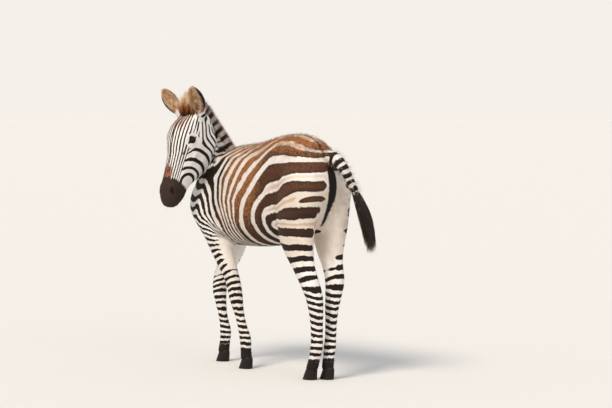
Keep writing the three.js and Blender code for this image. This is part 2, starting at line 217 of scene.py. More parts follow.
def vectors_of(mesh, key):
    """The places ("co") or normals ("normal") of a mesh's points."""
    found = np.zeros(len(mesh.vertices) * 3, np.float32)
    mesh.vertices.foreach_get(key, found)
    return found.reshape(-1, 3).astype(float)


def put_points(mesh, points):
    """Moves a mesh's points to new places, and gives its new normals."""
    mesh.vertices.foreach_set("co", points.astype(np.float32).ravel())
    mesh.update()
    return vectors_of(mesh, "normal")


def edge_ends(mesh):
    """The numbers of the points at the two ends of every edge."""
    ends = np.zeros(len(mesh.edges) * 2, np.int32)
    mesh.edges.foreach_get("vertices", ends)
    return ends[0::2], ends[1::2]


def relaxed(mesh, values, passes, share=1.0):
    """Values drawn towards their neighbours' mean, each by its own share, a number of times."""
    a, b = edge_ends(mesh)
    count = np.bincount(a, minlength=len(values)) + np.bincount(b, minlength=len(values))
    count = np.maximum(count, 1)[:, None]
    for _ in range(passes):
        total = np.zeros_like(values)
        for axis in range(3):
            total[:, axis] = np.bincount(a, values[b, axis], len(values))
            total[:, axis] += np.bincount(b, values[a, axis], len(values))
        values = values + (total / count - values) * share
    return values


bm = bmesh.new()
for node in FLESH + ["eye_left", "eye_right"]:  # the skin first covers the eyes too
    merged_copy(bm, node, OVERLAP)
rough_mesh = bpy.data.meshes.new("rough_flesh")
bm.to_mesh(rough_mesh)
bm.free()
rough = new_object("rough_flesh", rough_mesh)
remesh = rough.modifiers.new("wrap", "REMESH")
remesh.mode = "VOXEL"
remesh.voxel_size = CELL
skin_mesh = evaluated_mesh(rough)

# Which part of the body each point of the skin belongs to, from how near the CAD solids are.
FORE_LEGS = ("fore_left", "fore_right")
HIND_LEGS = ("hind_left", "hind_right")
PART_NODES = {
    "head": ["head", "eye_left", "eye_right"],
    "neck": ["neck"],
    "trunk": ["trunk"],
    "ears": ["ear_left", "ear_right"],
    "tail": ["tail"],
}
PART_NODES.update({leg: ["upper_" + leg, "lower_" + leg] for leg in FORE_LEGS + HIND_LEGS})
PART_REACH = 0.12  # parts farther away than this count as this far
PART_BLEND = 0.012  # how wide the border between two parts is
part_trees = []
for nodes in PART_NODES.values():
    bm = bmesh.new()
    for node in nodes:
        merged_copy(bm, node)
    part_trees.append(BVHTree.FromBMesh(bm))
    bm.free()


def parts_near(points):
    """For each part, how far each point belongs to it, from 0 to 1, with soft borders."""
    distances = np.full((len(points), len(part_trees)), PART_REACH)
    for column, search in enumerate(part_trees):
        for row, point in enumerate(points):
            distance = search.find_nearest(point, PART_REACH)[3]
            if distance is not None:
                distances[row, column] = distance
    nearness = soft_peak((distances - distances.min(axis=1, keepdims=True)) / PART_BLEND)
    nearness /= nearness.sum(axis=1, keepdims=True)
    belongs = dict(zip(PART_NODES, nearness.T))
    belongs["legs"] = sum(belongs[leg] for leg in FORE_LEGS + HIND_LEGS)
    return belongs


# Wide forms are smoothed far, and thin ones little, or they would shrink away.
SMOOTH_PASSES = 260
ORIGIN = np.array(ANIMAL)
points = vectors_of(skin_mesh, "co")
belongs = parts_near(points)
leg_share = 0.05 + 0.5 * smooth_step(0.42, 0.80, (points - ORIGIN)[:, 2])  # the thighs more than the shanks
share = belongs["trunk"] + 0.5 * belongs["neck"] + leg_share * belongs["legs"]
share += 0.10 * belongs["head"] + 0.05 * belongs["ears"] + 0.10 * belongs["tail"]
share = relaxed(skin_mesh, np.repeat(share[:, None], 3, axis=1), 12)[:, :1]
points = relaxed(skin_mesh, points, SMOOTH_PASSES, np.clip(share, 0, 1))
put_points(skin_mesh, points)

# ---- The face ------------------------------------------------------------------------------------
# The skin of the face lies close over bone, with a rim over the eye, a ridge on the cheek and swollen
# nostrils. The mouth is closed, and two lids leave an almond of each eyeball open.
HEAD_TURN = math.radians(98)  # from straight ahead, to the left
HEAD_DROP = math.radians(69)  # of the face line, from level
HEAD_SCALE = 1.065  # of the places on the head that follow
EYE_ALONG, EYE_ABOVE = 0.144, -0.036
NOSTRIL = (0.037, 0.388, -0.030)  # side, along the face and above it
NOSTRIL_SIZE, NOSTRIL_DEPTH, NOSTRIL_LIP = (0.0165, 0.0080), 0.017, 0.0018
NOSTRIL_SLANT = math.radians(38)
MOUTH_LINE = [(0.352, -0.094), (0.400, -0.094), (0.430, -0.090)]  # along and above
MOUTH_WIDTH, MOUTH_DEPTH = 0.0026, 0.0045
EYE_RADIUS = 0.021
LID = 0.0022  # thickness of the lids
LID_HALF = 0.96  # half the opening's length, as an angle at the middle of the eyeball
LID_TOP, LID_LOW = 0.68, 0.46  # its height above and below the line through the corners
# Side, along, above; reach on the same axes; and how far the skin stands out, in metres.
HEAD_FORMS = [
    ((0.060, 0.112, -0.008), (0.014, 0.030, 0.014), 0.0030),  # the bony rim over the eye
    ((0.052, 0.070, -0.004), (0.014, 0.020, 0.014), -0.0040),  # the hollow above and behind it
    ((0.066, 0.205, -0.078), (0.020, 0.045, 0.009), 0.0035),  # the ridge below the eye
    ((0.062, 0.215, -0.108), (0.020, 0.050, 0.016), -0.0035),  # the hollow under the ridge
    ((0.046, 0.262, -0.036), (0.020, 0.045, 0.016), -0.0040),  # the flat side of the nose
    ((0.060, 0.120, -0.170), (0.030, 0.045, 0.022), 0.0035),  # the edge of the jaw muscle
    ((0.040, 0.300, -0.105), (0.022, 0.026, 0.022), -0.0030),  # behind the corner of the mouth
    ((0.036, 0.376, -0.036), (0.016, 0.026, 0.026), 0.0055),  # the swollen rim of the nostril
    ((0.016, 0.428, -0.072), (0.022, 0.014, 0.018), 0.0035),  # the upper lip
    ((0.000, 0.398, -0.122), (0.022, 0.020, 0.014), 0.0060),  # the chin
    ((0.000, 0.345, -0.128), (0.024, 0.018, 0.014), -0.0040),  # the hollow behind the chin
]

# The head has axes of its own: to its right, along the face line, and up from the brow.
facing = np.array([-math.cos(HEAD_TURN), -math.sin(HEAD_TURN), 0])
head_right = np.cross(facing, [0, 0, 1])
face_line = facing * math.cos(HEAD_DROP) - np.array([0, 0, math.sin(HEAD_DROP)])
brow_up = np.cross(head_right, face_line)
EYES = {}
for side in ("left", "right"):
    EYES[side] = np.mean([np.array(corner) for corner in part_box("eye_" + side)], axis=0)
poll = (EYES["left"] + EYES["right"]) / 2 - HEAD_SCALE * (EYE_ALONG * face_line + EYE_ABOVE * brow_up)


def on_head(points):
    """Side, along and above on the head, for points in the frame."""
    away = (points - poll) / HEAD_SCALE
    return away @ head_right, away @ face_line, away @ brow_up


def from_head(side, along, above):
    """The point in the frame for a place on the head."""
    return poll + HEAD_SCALE * (side * head_right + along * face_line + above * brow_up)


# The skin is made finer round the eyes and the nostrils, where its folds are small.
FINE_PLACES = [(centre, 0.033) for centre in EYES.values()]
FINE_PLACES += [(from_head(way * NOSTRIL[0], *NOSTRIL[1:]), 0.026) for way in (-1, 1)]
near = np.zeros(len(points), bool)
for centre, reach in FINE_PLACES:
    near |= np.linalg.norm(points - centre, axis=1) < reach
bm = bmesh.new()
bm.from_mesh(skin_mesh)
bm.verts.ensure_lookup_table()
edges = {edge for row in np.flatnonzero(near) for edge in bm.verts[row].link_edges}
bmesh.ops.subdivide_edges(bm, edges=list(edges), cuts=2, use_grid_fill=True, smooth=0)
bm.to_mesh(skin_mesh)
bm.free()
points = vectors_of(skin_mesh, "co")
normals = put_points(skin_mesh, points)

for centre, reach, amount in HEAD_FORMS:
    for way in (-1, 1) if centre[0] else (1,):
        middle = (way * centre[0], *centre[1:])
        away = [np.square((v - c) / r) for v, c, r in zip(on_head(points), middle, reach)]
        points = points + normals * (soft_peak(np.sqrt(sum(away))) * amount)[:, None]

# The nostrils are slanted openings with a raised rim.
for way in (-1, 1):
    side, along, above = on_head(points)
    side, along, above = way * side - NOSTRIL[0], along - NOSTRIL[1], above - NOSTRIL[2]
    long_way = along * math.cos(NOSTRIL_SLANT) - above * math.sin(NOSTRIL_SLANT)
    short_way = along * math.sin(NOSTRIL_SLANT) + above * math.cos(NOSTRIL_SLANT)
    short_way = short_way + 12.0 * np.square(long_way)  # the opening is curved like a comma
    gap = np.hypot(long_way / NOSTRIL_SIZE[0], short_way / NOSTRIL_SIZE[1])
    on_side = np.abs(side) < 0.03
    hole = smooth_step(1.15, 0.55, gap) * on_side
    lip = soft_peak((gap - 1.45) / 0.40) * on_side
    inward = from_head(0, 0.02, -0.02) - from_head(way * 0.05, 0, 0)
    points = points + hole[:, None] * unit(inward) * NOSTRIL_DEPTH + lip[:, None] * normals * NOSTRIL_LIP

# The mouth is a narrow groove from its corners round the front.
side, along, above = on_head(points)
slit = above - np.interp(along, *zip(*MOUTH_LINE))
mouth = soft_peak(slit / MOUTH_WIDTH) * smooth_step(0.338, 0.356, along) * (np.abs(side) < 0.08)
points = points - normals * (mouth * MOUTH_DEPTH)[:, None]


def eye_axes(way):
    """Directions at the eye on one side: out of it, to its front corner, and up over it."""
    out = unit(way * head_right * 0.94 + brow_up * 0.26 + face_line * 0.10)
    corner = face_line * 0.82 + brow_up * 0.57
    corner = unit(corner - out * (corner @ out))
    over = unit(np.cross(corner, out))
    return out, corner, over if over @ brow_up > 0 else -over


def about_eye(points, way):
    """Where points lie about an eye: from its middle, along and up as angles, how far up the opening
    reaches there, how far past its edge they are, and how near to the eyeball."""
    out, corner, over = eye_axes(way)
    away = points - EYES["left" if way < 0 else "right"]
    depth = away @ out
    turn = np.arctan2(away @ corner, np.maximum(depth, 0.001))
    lift = np.arctan2(away @ over, np.maximum(depth, 0.001))
    limit = np.where(lift > 0, LID_TOP, LID_LOW) * (1 - np.square(np.clip(turn / LID_HALF, -1, 1)))
    past = np.abs(lift) - limit + np.maximum(np.abs(turn) - LID_HALF, 0)
    gap = np.linalg.norm(away, axis=1)
    near = smooth_step(EYE_RADIUS + 0.016, EYE_RADIUS + 0.005, gap)
    near = near * smooth_step(0.0, 0.4, depth / np.maximum(gap, 1e-6))
    return away, turn, lift, limit, past, near


# Inside the opening the skin is drawn back into the eyeball, and past it the lids stand over the ball.
SOCKET = 0.86  # how far out the skin lies behind the ball, as a share of its radius
CREASE_ABOVE, CREASE_WIDTH, CREASE_DEPTH = 0.33, 0.07, 0.0016  # the fold over the upper lid
for way in (-1, 1):
    away, turn, lift, limit, past, near = about_eye(points, way)
    centre = points - away
    inside = near * smooth_step(0.03, -0.06, past)
    target = centre + unit(away) * (EYE_RADIUS * SOCKET)
    points = points + (target - points) * inside[:, None]
    lid = np.maximum(EYE_RADIUS + LID - np.linalg.norm(points - centre, axis=1), 0) * (1 - inside)
    points = points + unit(away) * (lid * near)[:, None]
    crease = soft_peak((lift - limit - CREASE_ABOVE) / CREASE_WIDTH) * near
    crease = crease * (np.abs(turn) < 1.1) * (lift > 0)
    points = points - unit(away) * (CREASE_DEPTH * crease)[:, None]
normals = put_points(skin_mesh, points)

# ---- The legs and the body's hollows -------------------------------------------------------------
# The legs' joints, tendons and pads show through thin skin, and so do the hips, elbows and shoulders.
# Each is a small swelling or hollow, set out from the middle of the leg or from the start.
LEG_TOP = 0.66  # below this height each leg stands clear of the body
# Height, how far behind the leg's middle and to both sides of it, reach, and how far it stands out.
FORE_FORMS = [
    (0.392, 0.036, 0.000, (0.020, 0.014, 0.016), 0.0070),  # the bone behind the knee
    (0.362, -0.034, 0.000, (0.022, 0.012, 0.020), 0.0020),  # the front of the knee
    (0.348, 0.000, 0.034, (0.020, 0.018, 0.012), 0.0020),  # its sides
    (0.255, 0.009, 0.021, (0.080, 0.006, 0.010), -0.0038),  # between the cannon bone and the tendons
    (0.142, 0.000, 0.026, (0.018, 0.016, 0.012), 0.0025),  # the fetlock
    (0.130, 0.034, 0.000, (0.018, 0.012, 0.014), 0.0050),  # the pad behind it
    (0.052, 0.000, 0.026, (0.010, 0.030, 0.020), 0.0020),  # the band above the hoof
]
HIND_FORMS = [
    (0.475, 0.060, 0.000, (0.024, 0.014, 0.014), 0.0040),  # the point of the hock
    (0.545, 0.036, 0.030, (0.050, 0.018, 0.016), -0.0090),  # the hollow before the tendon
    (0.425, 0.000, 0.038, (0.026, 0.020, 0.012), 0.0030),  # the hock's sides
    (0.290, 0.010, 0.026, (0.085, 0.007, 0.011), -0.0040),  # between the cannon bone and the tendons
    (0.150, 0.000, 0.027, (0.018, 0.016, 0.012), 0.0025),  # the fetlock
    (0.138, 0.036, 0.000, (0.018, 0.012, 0.014), 0.0050),  # the pad behind it
    (0.052, 0.000, 0.026, (0.010, 0.030, 0.020), 0.0020),  # the band above the hoof
]
# Forms of the body on both sides: place, reach, and how far it stands out.
BODY_FORMS = [
    ((-0.215, 0.135, 1.035), (0.050, 0.040, 0.040), 0.0060),  # the point of the hip
    ((-0.335, 0.165, 0.900), (0.060, 0.050, 0.090), -0.0070),  # the hollow of the flank
    ((-0.270, 0.130, 0.640), (0.060, 0.040, 0.030), 0.0060),  # the fold from the flank to the stifle
    ((-0.745, 0.150, 0.930), (0.020, 0.060, 0.080), -0.0050),  # behind the shoulder blade
    ((-0.930, 0.100, 0.800), (0.040, 0.040, 0.040), 0.0060),  # the point of the shoulder
    ((-0.700, 0.120, 0.660), (0.030, 0.040, 0.025), 0.0070),  # the elbow
    ((0.020, 0.000, 0.850), (0.060, 0.012, 0.110), -0.0110),  # the cleft between the buttocks
    ((0.010, 0.050, 1.000), (0.030, 0.020, 0.030), -0.0040),  # beside the root of the tail
]


def leg_middle(own, on_leg):
    """The middle of a leg at the height of each point: along the body, and across it."""
    x, y, z = own.T
    heights = np.arange(0.05, LEG_TOP, 0.01)
    rows = [(on_leg > 0.5) & (z < LEG_TOP) & (np.abs(z - height) < 0.006) for height in heights]
    return [np.interp(z, heights, [(v[row].min() + v[row].max()) / 2 for row in rows]) for v in (x, y)]


own = points - ORIGIN
belongs = parts_near(points)
for leg in FORE_LEGS + HIND_LEGS:
    x, y, z = own.T
    middle_x, middle_y = leg_middle(own, belongs[leg])
    for height, behind, beside, reach, amount in FORE_FORMS if leg in FORE_LEGS else HIND_FORMS:
        for way in (-1, 1) if beside else (1,):
            away = (z - height, x - middle_x - behind, y - middle_y - way * beside)
            gap = sum(np.square(value / size) for value, size in zip(away, reach))
            points = points + normals * (np.exp(-gap) * belongs[leg] * amount)[:, None]
on_body = belongs["trunk"] + belongs["legs"]
for (x, y, z), reach, amount in BODY_FORMS:
    for way in (-1, 1) if y else (1,):
        gap = np.linalg.norm((points - ORIGIN - (x, way * y, z)) / np.array(reach), axis=1)
        points = points + normals * (soft_peak(gap) * on_body * amount)[:, None]
put_points(skin_mesh, points)

# The skin is thinned to a size that can be handed on, and stays finest on the head.
SKIN_FACES = 190_000
belongs = parts_near(points)
keep = np.clip(0.25 + belongs["head"] + belongs["ears"], 0, 1)
skin = new_object("skin", skin_mesh)
group = skin.vertex_groups.new(name="fine")
for level in (1, 2, 3, 4):
    chosen = np.flatnonzero(np.round(keep * 4) == level)
    group.add(chosen.tolist(), 1 - level / 4, "REPLACE")
thin = skin.modifiers.new("thin", "DECIMATE")
thin.ratio = SKIN_FACES / (2 * len(skin_mesh.polygons))
thin.vertex_group = "fine"
thin.vertex_group_factor = 0.5
full_mesh, skin_mesh = skin_mesh, evaluated_mesh(skin)
bpy.data.meshes.remove(full_mesh)
skin_mesh.name = "skin"
points = vectors_of(skin_mesh, "co")
normals = vectors_of(skin_mesh, "normal")
own = points - ORIGIN
belongs = parts_near(points)

# ---- The stripes ---------------------------------------------------------------------------------
# A plains zebra's coat is striped all over. Each field of numbers counts stripes over a part of the
# body: A over trunk, legs and cheeks, B over neck and tail, and C over the front of the face. A dark
# stripe lies at every whole number, and where fields are mixed the stripes fork and join.
STIFLE = (-0.20, 0.70)  # length and height that the haunch's stripes curl round
FLANK_STRIPES = [0.053, 0.145, 0.268, 0.355, 0.396, 0.432]  # how far above it each stripe runs
BELLY_STRIPES = [0.053, 0.145, 0.258, 0.360, 0.381, 0.417, 0.448, 0.476, 0.504, 0.599, 0.666, 0.728]
# The ribs' and shoulder's stripes, numbers 2 to 11: how far ahead of the tail each is at a height.
RIB_STRIPES = {
    0.70: [0.430, 0.521, 0.540, 0.572, 0.600, 0.625, 0.650, 0.735, 0.795, 0.850],
    0.80: [0.385, 0.504, 0.551, 0.594, 0.640, 0.675, 0.725, 0.793, 0.862, 0.905],
    0.90: [0.310, 0.425, 0.512, 0.575, 0.657, 0.713, 0.785, 0.882, 0.938, 0.990],
    1.00: [0.220, 0.385, 0.460, 0.535, 0.612, 0.675, 0.745, 0.840, 0.900, 0.960],
    1.06: [0.150, 0.300, 0.390, 0.450, 0.510, 0.560, 0.610, 0.680, 0.750, 0.820],
}
SHOULDER_PERIOD = 0.036  # from one dark stripe to the next
HOCK = 0.40  # height below which the hind leg's stripes are evenly spread
HOCK_PERIOD, HOCK_GROWTH = 0.030, 0.155  # the period there, and how fast it grows above, stripe by stripe
FORE_PERIOD, FORE_TOP = 0.0272, (12.47, 0.68)  # the fore leg's first stripe number, and its height
NECK_PERIOD, NECK_FIRST = 0.042, 8.1
TAIL_PERIOD = 0.034
FACE_PERIOD = 9.6  # in degrees about the middle of the nose
# The middle of the neck, from inside the chest up to the head, in the animal's measures. The last
# number is how many degrees the neck is turned to the left there.
NECK = [
    (-0.815, 0.002, 0.838, 2),
    (-0.872, 0.000, 0.905, 8),
    (-0.918, -0.012, 0.975, 24),
    (-0.944, -0.042, 1.045, 46),
    (-0.946, -0.088, 1.108, 72),
    (-0.926, -0.136, 1.158, 90),
    (-0.900, -0.172, 1.194, 98),
    (-0.876, -0.206, 1.240, 100),
]
NECK_LINE = np.array(NECK)[:, :3]
TAIL_LINE = [  # the middle of the tail
    (0.022, 0.000, 1.018),
    (0.076, 0.008, 1.000),
    (0.110, 0.026, 0.950),
    (0.128, 0.052, 0.886),
    (0.138, 0.082, 0.818),
    (0.142, 0.108, 0.760),
]


def mixed(first, second, share):
    """The first where share is 0, the second where it is 1, and a mixture between."""
    return first + (second - first) * share


def along_line(points, line):
    """How far along a line of places each point lies, its distance, and the line's direction there."""
    line = np.array(line)
    best = np.full(len(points), 1e9)
    place = np.zeros(len(points))
    way = np.zeros((len(points), 3))
    passed = 0.0
    for start, end in zip(line[:-1], line[1:]):
        step = end - start
        length = np.linalg.norm(step)
        share = np.clip(((points - start) @ step) / length**2, 0, 1)
        gap = np.linalg.norm(points - start - share[:, None] * step, axis=1)
        nearer = gap < best
        best = np.where(nearer, gap, best)
        place = np.where(nearer, passed + share * length, place)
        way[nearer] = step / length
        passed += length
    return place, best, way


def spread_count(value, stripes, first=0):
    """The stripe number at a value, from the values where stripes lie, going on evenly past them."""
    number = first + np.interp(value, stripes, np.arange(len(stripes)))
    number = number + np.maximum(value - stripes[-1], 0) / (stripes[-1] - stripes[-2])
    return number - np.maximum(stripes[0] - value, 0) / (stripes[1] - stripes[0])


def hind_count(height):
    """The stripe number on the hind leg: 0 at the top of the thigh, and less and less going down."""
    growth = HOCK_GROWTH / HOCK_PERIOD
    top = math.log(1 + growth * (STIFLE[1] + FLANK_STRIPES[0] - HOCK)) / HOCK_GROWTH
    number = np.log(1 + growth * np.maximum(height - HOCK, 0)) / HOCK_GROWTH - top
    return number + np.minimum(height - HOCK, 0) / HOCK_PERIOD


def rib_count(length, height):
    """The stripe number on the ribs and shoulder."""
    heights = list(RIB_STRIPES)
    rows = [spread_count(-length, stripes, 2) for stripes in RIB_STRIPES.values()]
    found = rows[0]
    for low, high, row in zip(heights[:-1], heights[1:], rows[1:]):
        found = mixed(found, row, np.clip((height - low) / (high - low), 0, 1))
    return found


def leg_tilt(legs, heights, slopes):
    """How far the stripes of some legs lie above the level, where they slant across the leg."""
    tilt = np.zeros(len(own))
    for leg in legs:
        middle = leg_middle(own, belongs[leg])[0]
        tilt += belongs[leg] * np.interp(own[:, 2], heights, slopes) * (own[:, 0] - middle)
    return tilt


def body_count():
    """The trunk's and hind legs' stripe number."""
    x, y, z = own.T
    leg_z = z - leg_tilt(HIND_LEGS, [0.15, 0.25, 0.40, 0.46, 0.53, 0.60], [0, -0.30, -0.20, 0.30, 0.15, 0])
    # The right shoulder is further on than the left one.
    x = x + 0.05 * smooth_step(0, 0.08, y) * smooth_step(-0.5, -0.7, x)

    # Over the haunch the stripes curl round the stifle, and climb towards the tail.
    sag = np.interp(z, [0.70, 0.77, 0.885, 0.975, 1.03, 1.05], [0, 0.017, 0.040, 0.007, -0.025, -0.044])
    level = z - STIFLE[1] - sag * smooth_step(-0.20, 0.0, x)
    climb = np.interp(level, [0, 0.05, 0.15, 0.27, 0.38], [0, 0.10, 0.22, 0.10, 0])
    level = level + climb * np.clip(-0.05 - x, 0, 0.25)
    ahead = np.maximum(STIFLE[0] - x, 0)
    ahead = ahead * smooth_step(0, 0.13, ahead)
    ahead = ahead * mixed(0.85, 1.12, smooth_step(0.05, 0.20, ahead))
    upper = spread_count(np.hypot(ahead, np.maximum(level, 0)), FLANK_STRIPES)
    lower = spread_count(np.hypot(ahead, 1.2 * np.maximum(-level, 0)), BELLY_STRIPES)

    # The thigh's stripes end at the fold of the stifle, which runs back as it goes down.
    fold = x - 0.25 * np.clip(STIFLE[1] - z, -0.06, 0.10)
    thigh = smooth_step(STIFLE[0] - 0.03, STIFLE[0] + 0.01, fold)
    first = STIFLE[1] + FLANK_STRIPES[0]
    leg = np.where(z < first, hind_count(leg_z), upper)
    lower = mixed(lower, leg, thigh)
    upper = np.where(level + STIFLE[1] < first, mixed(upper, leg, thigh), upper)
    upper = mixed(upper, rib_count(x, z), smooth_step(-0.36, -0.50, x))
    body = np.where(level > 0, upper, lower)

    # Ahead of the shoulder the stripes slant down to the elbow, and cross the chest in a V.
    chest_x = np.maximum(x, -0.86) + 0.15 * np.minimum(x + 0.86, 0)
    shoulder = 9 + (0.177 - 0.6 * chest_x - 0.8 * z) / SHOULDER_PERIOD
    shoulder -= 0.45 * (np.abs(y) - 0.09) / SHOULDER_PERIOD * smooth_step(-0.84, -0.90, x)
    return mixed(body, shoulder, smooth_step(-0.74, -0.88, x) * smooth_step(0.98, 0.90, z))


def cheek_count():
    """The cheeks' stripe number: rings round the corner of the mouth, and bars behind the eye."""
    stretch = np.interp(above, [-0.060, -0.025, -0.003], [1.0, 0.5, 0.35])
    ring = np.hypot(along - 0.330, above + 0.100)
    ring = 0.095 + (ring - 0.095) / np.where(ring > 0.095, stretch, 1)
    front = np.interp(ring, [0.024, 0.046, 0.072, 0.110, 0.157, 0.185, 0.480], [-0.5, 0, 1, 2, 3, 4, 15])
    u = along + 0.38 * (above + 0.090)
    v = -(above + (along - 0.130) / 4 + 0.075)
    a, b = (0.133 - u) / 0.028, (v - 0.007) / 0.023
    back = 4 + (a + b - np.sqrt(np.square(a - b) + 0.3)) / 2
    return mixed(back, front, smooth_step(0.125, 0.160, along))


x, y, z = own.T
side, along, above = on_head(points)
on_head_share = belongs["head"] + belongs["ears"]
fore_share = belongs["fore_left"] + belongs["fore_right"]
on_fore = fore_share * smooth_step(0.76, 0.64, z)
on_tail = belongs["tail"] * smooth_step(0.035, 0.075, x)
neck_place, _, neck_way = along_line(own, NECK_LINE)
tail_place, _, tail_way = along_line(own, TAIL_LINE)
face_turn = np.degrees(np.arctan2(np.abs(side), above + 0.070))  # 0 on the nose line, 90 on the side
front_border = mixed(80, 62, smooth_step(0.11, 0.17, along))
on_front = on_head_share * smooth_step(front_border + 6, front_border - 6, face_turn)

fore_tilt = leg_tilt(FORE_LEGS, [0.12, 0.22, 0.36, 0.50, 0.62], [0, -0.20, 0.35, 0.40, -0.25])
fore_count = FORE_TOP[0] + (FORE_TOP[1] - z + fore_tilt) / FORE_PERIOD
count_a = mixed(body_count(), fore_count, on_fore)
count_a = mixed(count_a, cheek_count(), np.round(on_head_share))
count_b = np.where(x > -0.2, tail_place / TAIL_PERIOD, NECK_FIRST + neck_place / NECK_PERIOD)
count_c = 3 + (70 - face_turn) / FACE_PERIOD
counts = np.stack([count_a, count_b, count_c], axis=1)

nape = on_head_share * smooth_step(0.060, 0.015, along) * smooth_step(-0.020, -0.045, above)
weight_b = belongs["neck"] * smooth_step(0.06, 0.13, neck_place) + on_tail
weight_b = np.maximum(np.clip(weight_b, 0, 1) * (1 - on_head_share), nape)
weight_c = on_front * (1 - belongs["ears"]) * (1 - nape)
weight_a = np.clip(1 - weight_b - weight_c, 0, 1) * (1 - belongs["ears"])

# How many stripes pass in a metre of skin, for each field, so that edges are equally ragged anywhere.
a, b = edge_ends(skin_mesh)
step = np.abs(counts[a] - counts[b]) / np.linalg.norm(points[a] - points[b], axis=1)[:, None]
rate = np.zeros_like(counts)
np.maximum.at(rate, a, step)
np.maximum.at(rate, b, step)
rate = np.clip(relaxed(skin_mesh, np.minimum(rate, 200), 6), 6, 90)
rate *= (1 - 0.6 * on_head_share)[:, None]  # the face's stripes have the smoothest edges

# ---- The stripes' tones, the black places and the painted shade ----------------------------------
# A young animal's stripes are black on the head, neck and legs, dark brown on the haunch, and pale
# brown on the ribs and the back. Its muzzle, pasterns and eyelids are black, and so is a line down
# the back, while the insides of the legs are bare of stripes. Black painted shade fills the cleft
# under the tail, between the buttocks.

# Brown is 0 for black stripes and 1 for pale brown ones. Cream is the ground's warmth.
on_ribs = smooth_step(-0.30, -0.42, x) * smooth_step(-0.76, -0.66, x)
brown = np.interp(z, [0.45, 0.60, 0.72, 0.80, 0.97, 1.03, 1.08], [0.0, 0.12, 0.28, 0.42, 0.50, 0.62, 0.92])
brown = mixed(brown, np.interp(z, [0.64, 0.72, 0.85, 1.0], [0.40, 0.66, 0.80, 0.90]), on_ribs)
brown = mixed(brown, 0.10, smooth_step(-0.62, -0.72, x) * smooth_step(1.02, 0.96, z))
head_and_neck = on_head_share + belongs["neck"] * smooth_step(0.04, 0.10, neck_place)
brown = mixed(brown, 0.12, np.clip(head_and_neck, 0, 1))
brown = mixed(brown, 0.06, on_tail)
brown = mixed(brown, 0.0, np.clip(on_fore, 0, 1))
forehead = on_head_share * smooth_step(0.02, 0.05, along) * smooth_step(0.17, 0.10, along)
brown = mixed(brown, 0.50, forehead * smooth_step(56, 34, face_turn))
haunch = smooth_step(-0.25, -0.12, x) * smooth_step(0.95, 0.85, z) * smooth_step(0.50, 0.62, z)
cream = mixed(0.25, 0.8, haunch)
cream = mixed(cream, 0.5, on_ribs)
cream = mixed(cream, 0.1, on_head_share)

# The legs' inner sides are bare above the knee and hock, and the rings open there bit by bit.
left_legs, right_legs = (belongs["fore_" + way] + belongs["hind_" + way] for way in ("left", "right"))
on_left = np.where(np.maximum(left_legs, right_legs) > 0.5, left_legs > right_legs, y < 0)
bare_from = np.interp(z, [0.42, 0.50, 0.58], [1.1, 0.6, 0.2])
bare_from = mixed(bare_from, np.interp(z, [0.36, 0.43, 0.50], [1.1, 0.6, 0.2]), fore_share)
bare = smooth_step(bare_from, bare_from + 0.6, normals[:, 1] * np.where(on_left, 1, -1)) * belongs["legs"]
back_of_fore = smooth_step(0.25, 0.9, normals[:, 0]) * fore_share
back_of_fore = back_of_fore * smooth_step(0.38, 0.56, z) * smooth_step(0.68, 0.60, z)
bare = np.maximum(bare, back_of_fore)
rump_half = np.interp(z, [0.50, 0.60, 0.70, 0.85, 0.95], [0.050, 0.055, 0.050, 0.040, 0.030])
rump_edge = np.where(y > 0, 0.095, 0.026)  # on the right the stripes thin out over a wider place
rump = smooth_step(rump_half + rump_edge, rump_half - 0.010, np.abs(y - 0.008)) * smooth_step(-0.10, -0.04, x)
rump = rump * smooth_step(0.0, 0.5, normals[:, 0]) * smooth_step(0.98, 0.92, z) * smooth_step(0.54, 0.62, z)
rump = rump * (1 - belongs["tail"])
bare = np.maximum(bare, rump)

# Duty is the dark stripes' share of the coat.
duty = np.interp(
    count_a, [-4, -3, -2, -1, 0, 1, 2, 3, 4, 5], [0.56, 0.50, 0.50, 0.56, 0.47, 0.62, 0.72, 0.57, 0.52, 0.48]
)
rear = smooth_step(-0.10, 0.03, x) * smooth_step(1.7, 1.4, count_a) * smooth_step(-0.7, -0.4, count_a)
duty = duty - 0.13 * rear  # the haunch's stripes narrow towards the tail
duty = mixed(duty, 0.56, smooth_step(-0.72, -0.84, x))
duty = mixed(duty, 0.40, on_head_share)
duty = mixed(duty, 0.47, on_front)
patch = smooth_step(0.052, 0.030, np.abs(side)) * smooth_step(0.02, 0.04, along)
patch = patch * smooth_step(0.135, 0.08, along)  # the forehead's stripes are wide and nearly meet
duty = mixed(duty, 0.72, on_head_share * patch)
duty = mixed(duty, 0.55, belongs["legs"] * smooth_step(0.62, 0.50, z) * (1 - bare))
duty = mixed(duty, 0.62, on_tail)

# A short wedge lies between two stripes of the haunch, near the tail.
wedge = 2.7 * soft_peak((z - 0.8185 - 0.23 * x) / 0.0125) * smooth_step(-0.030, 0.040, x)
wedge = wedge * (1 - belongs["tail"])


def head_line_gap(places):
    """The distance to a line of places on the head, the same on both sides."""
    return along_line(np.stack([np.abs(side), along, above], axis=1), places)[1]


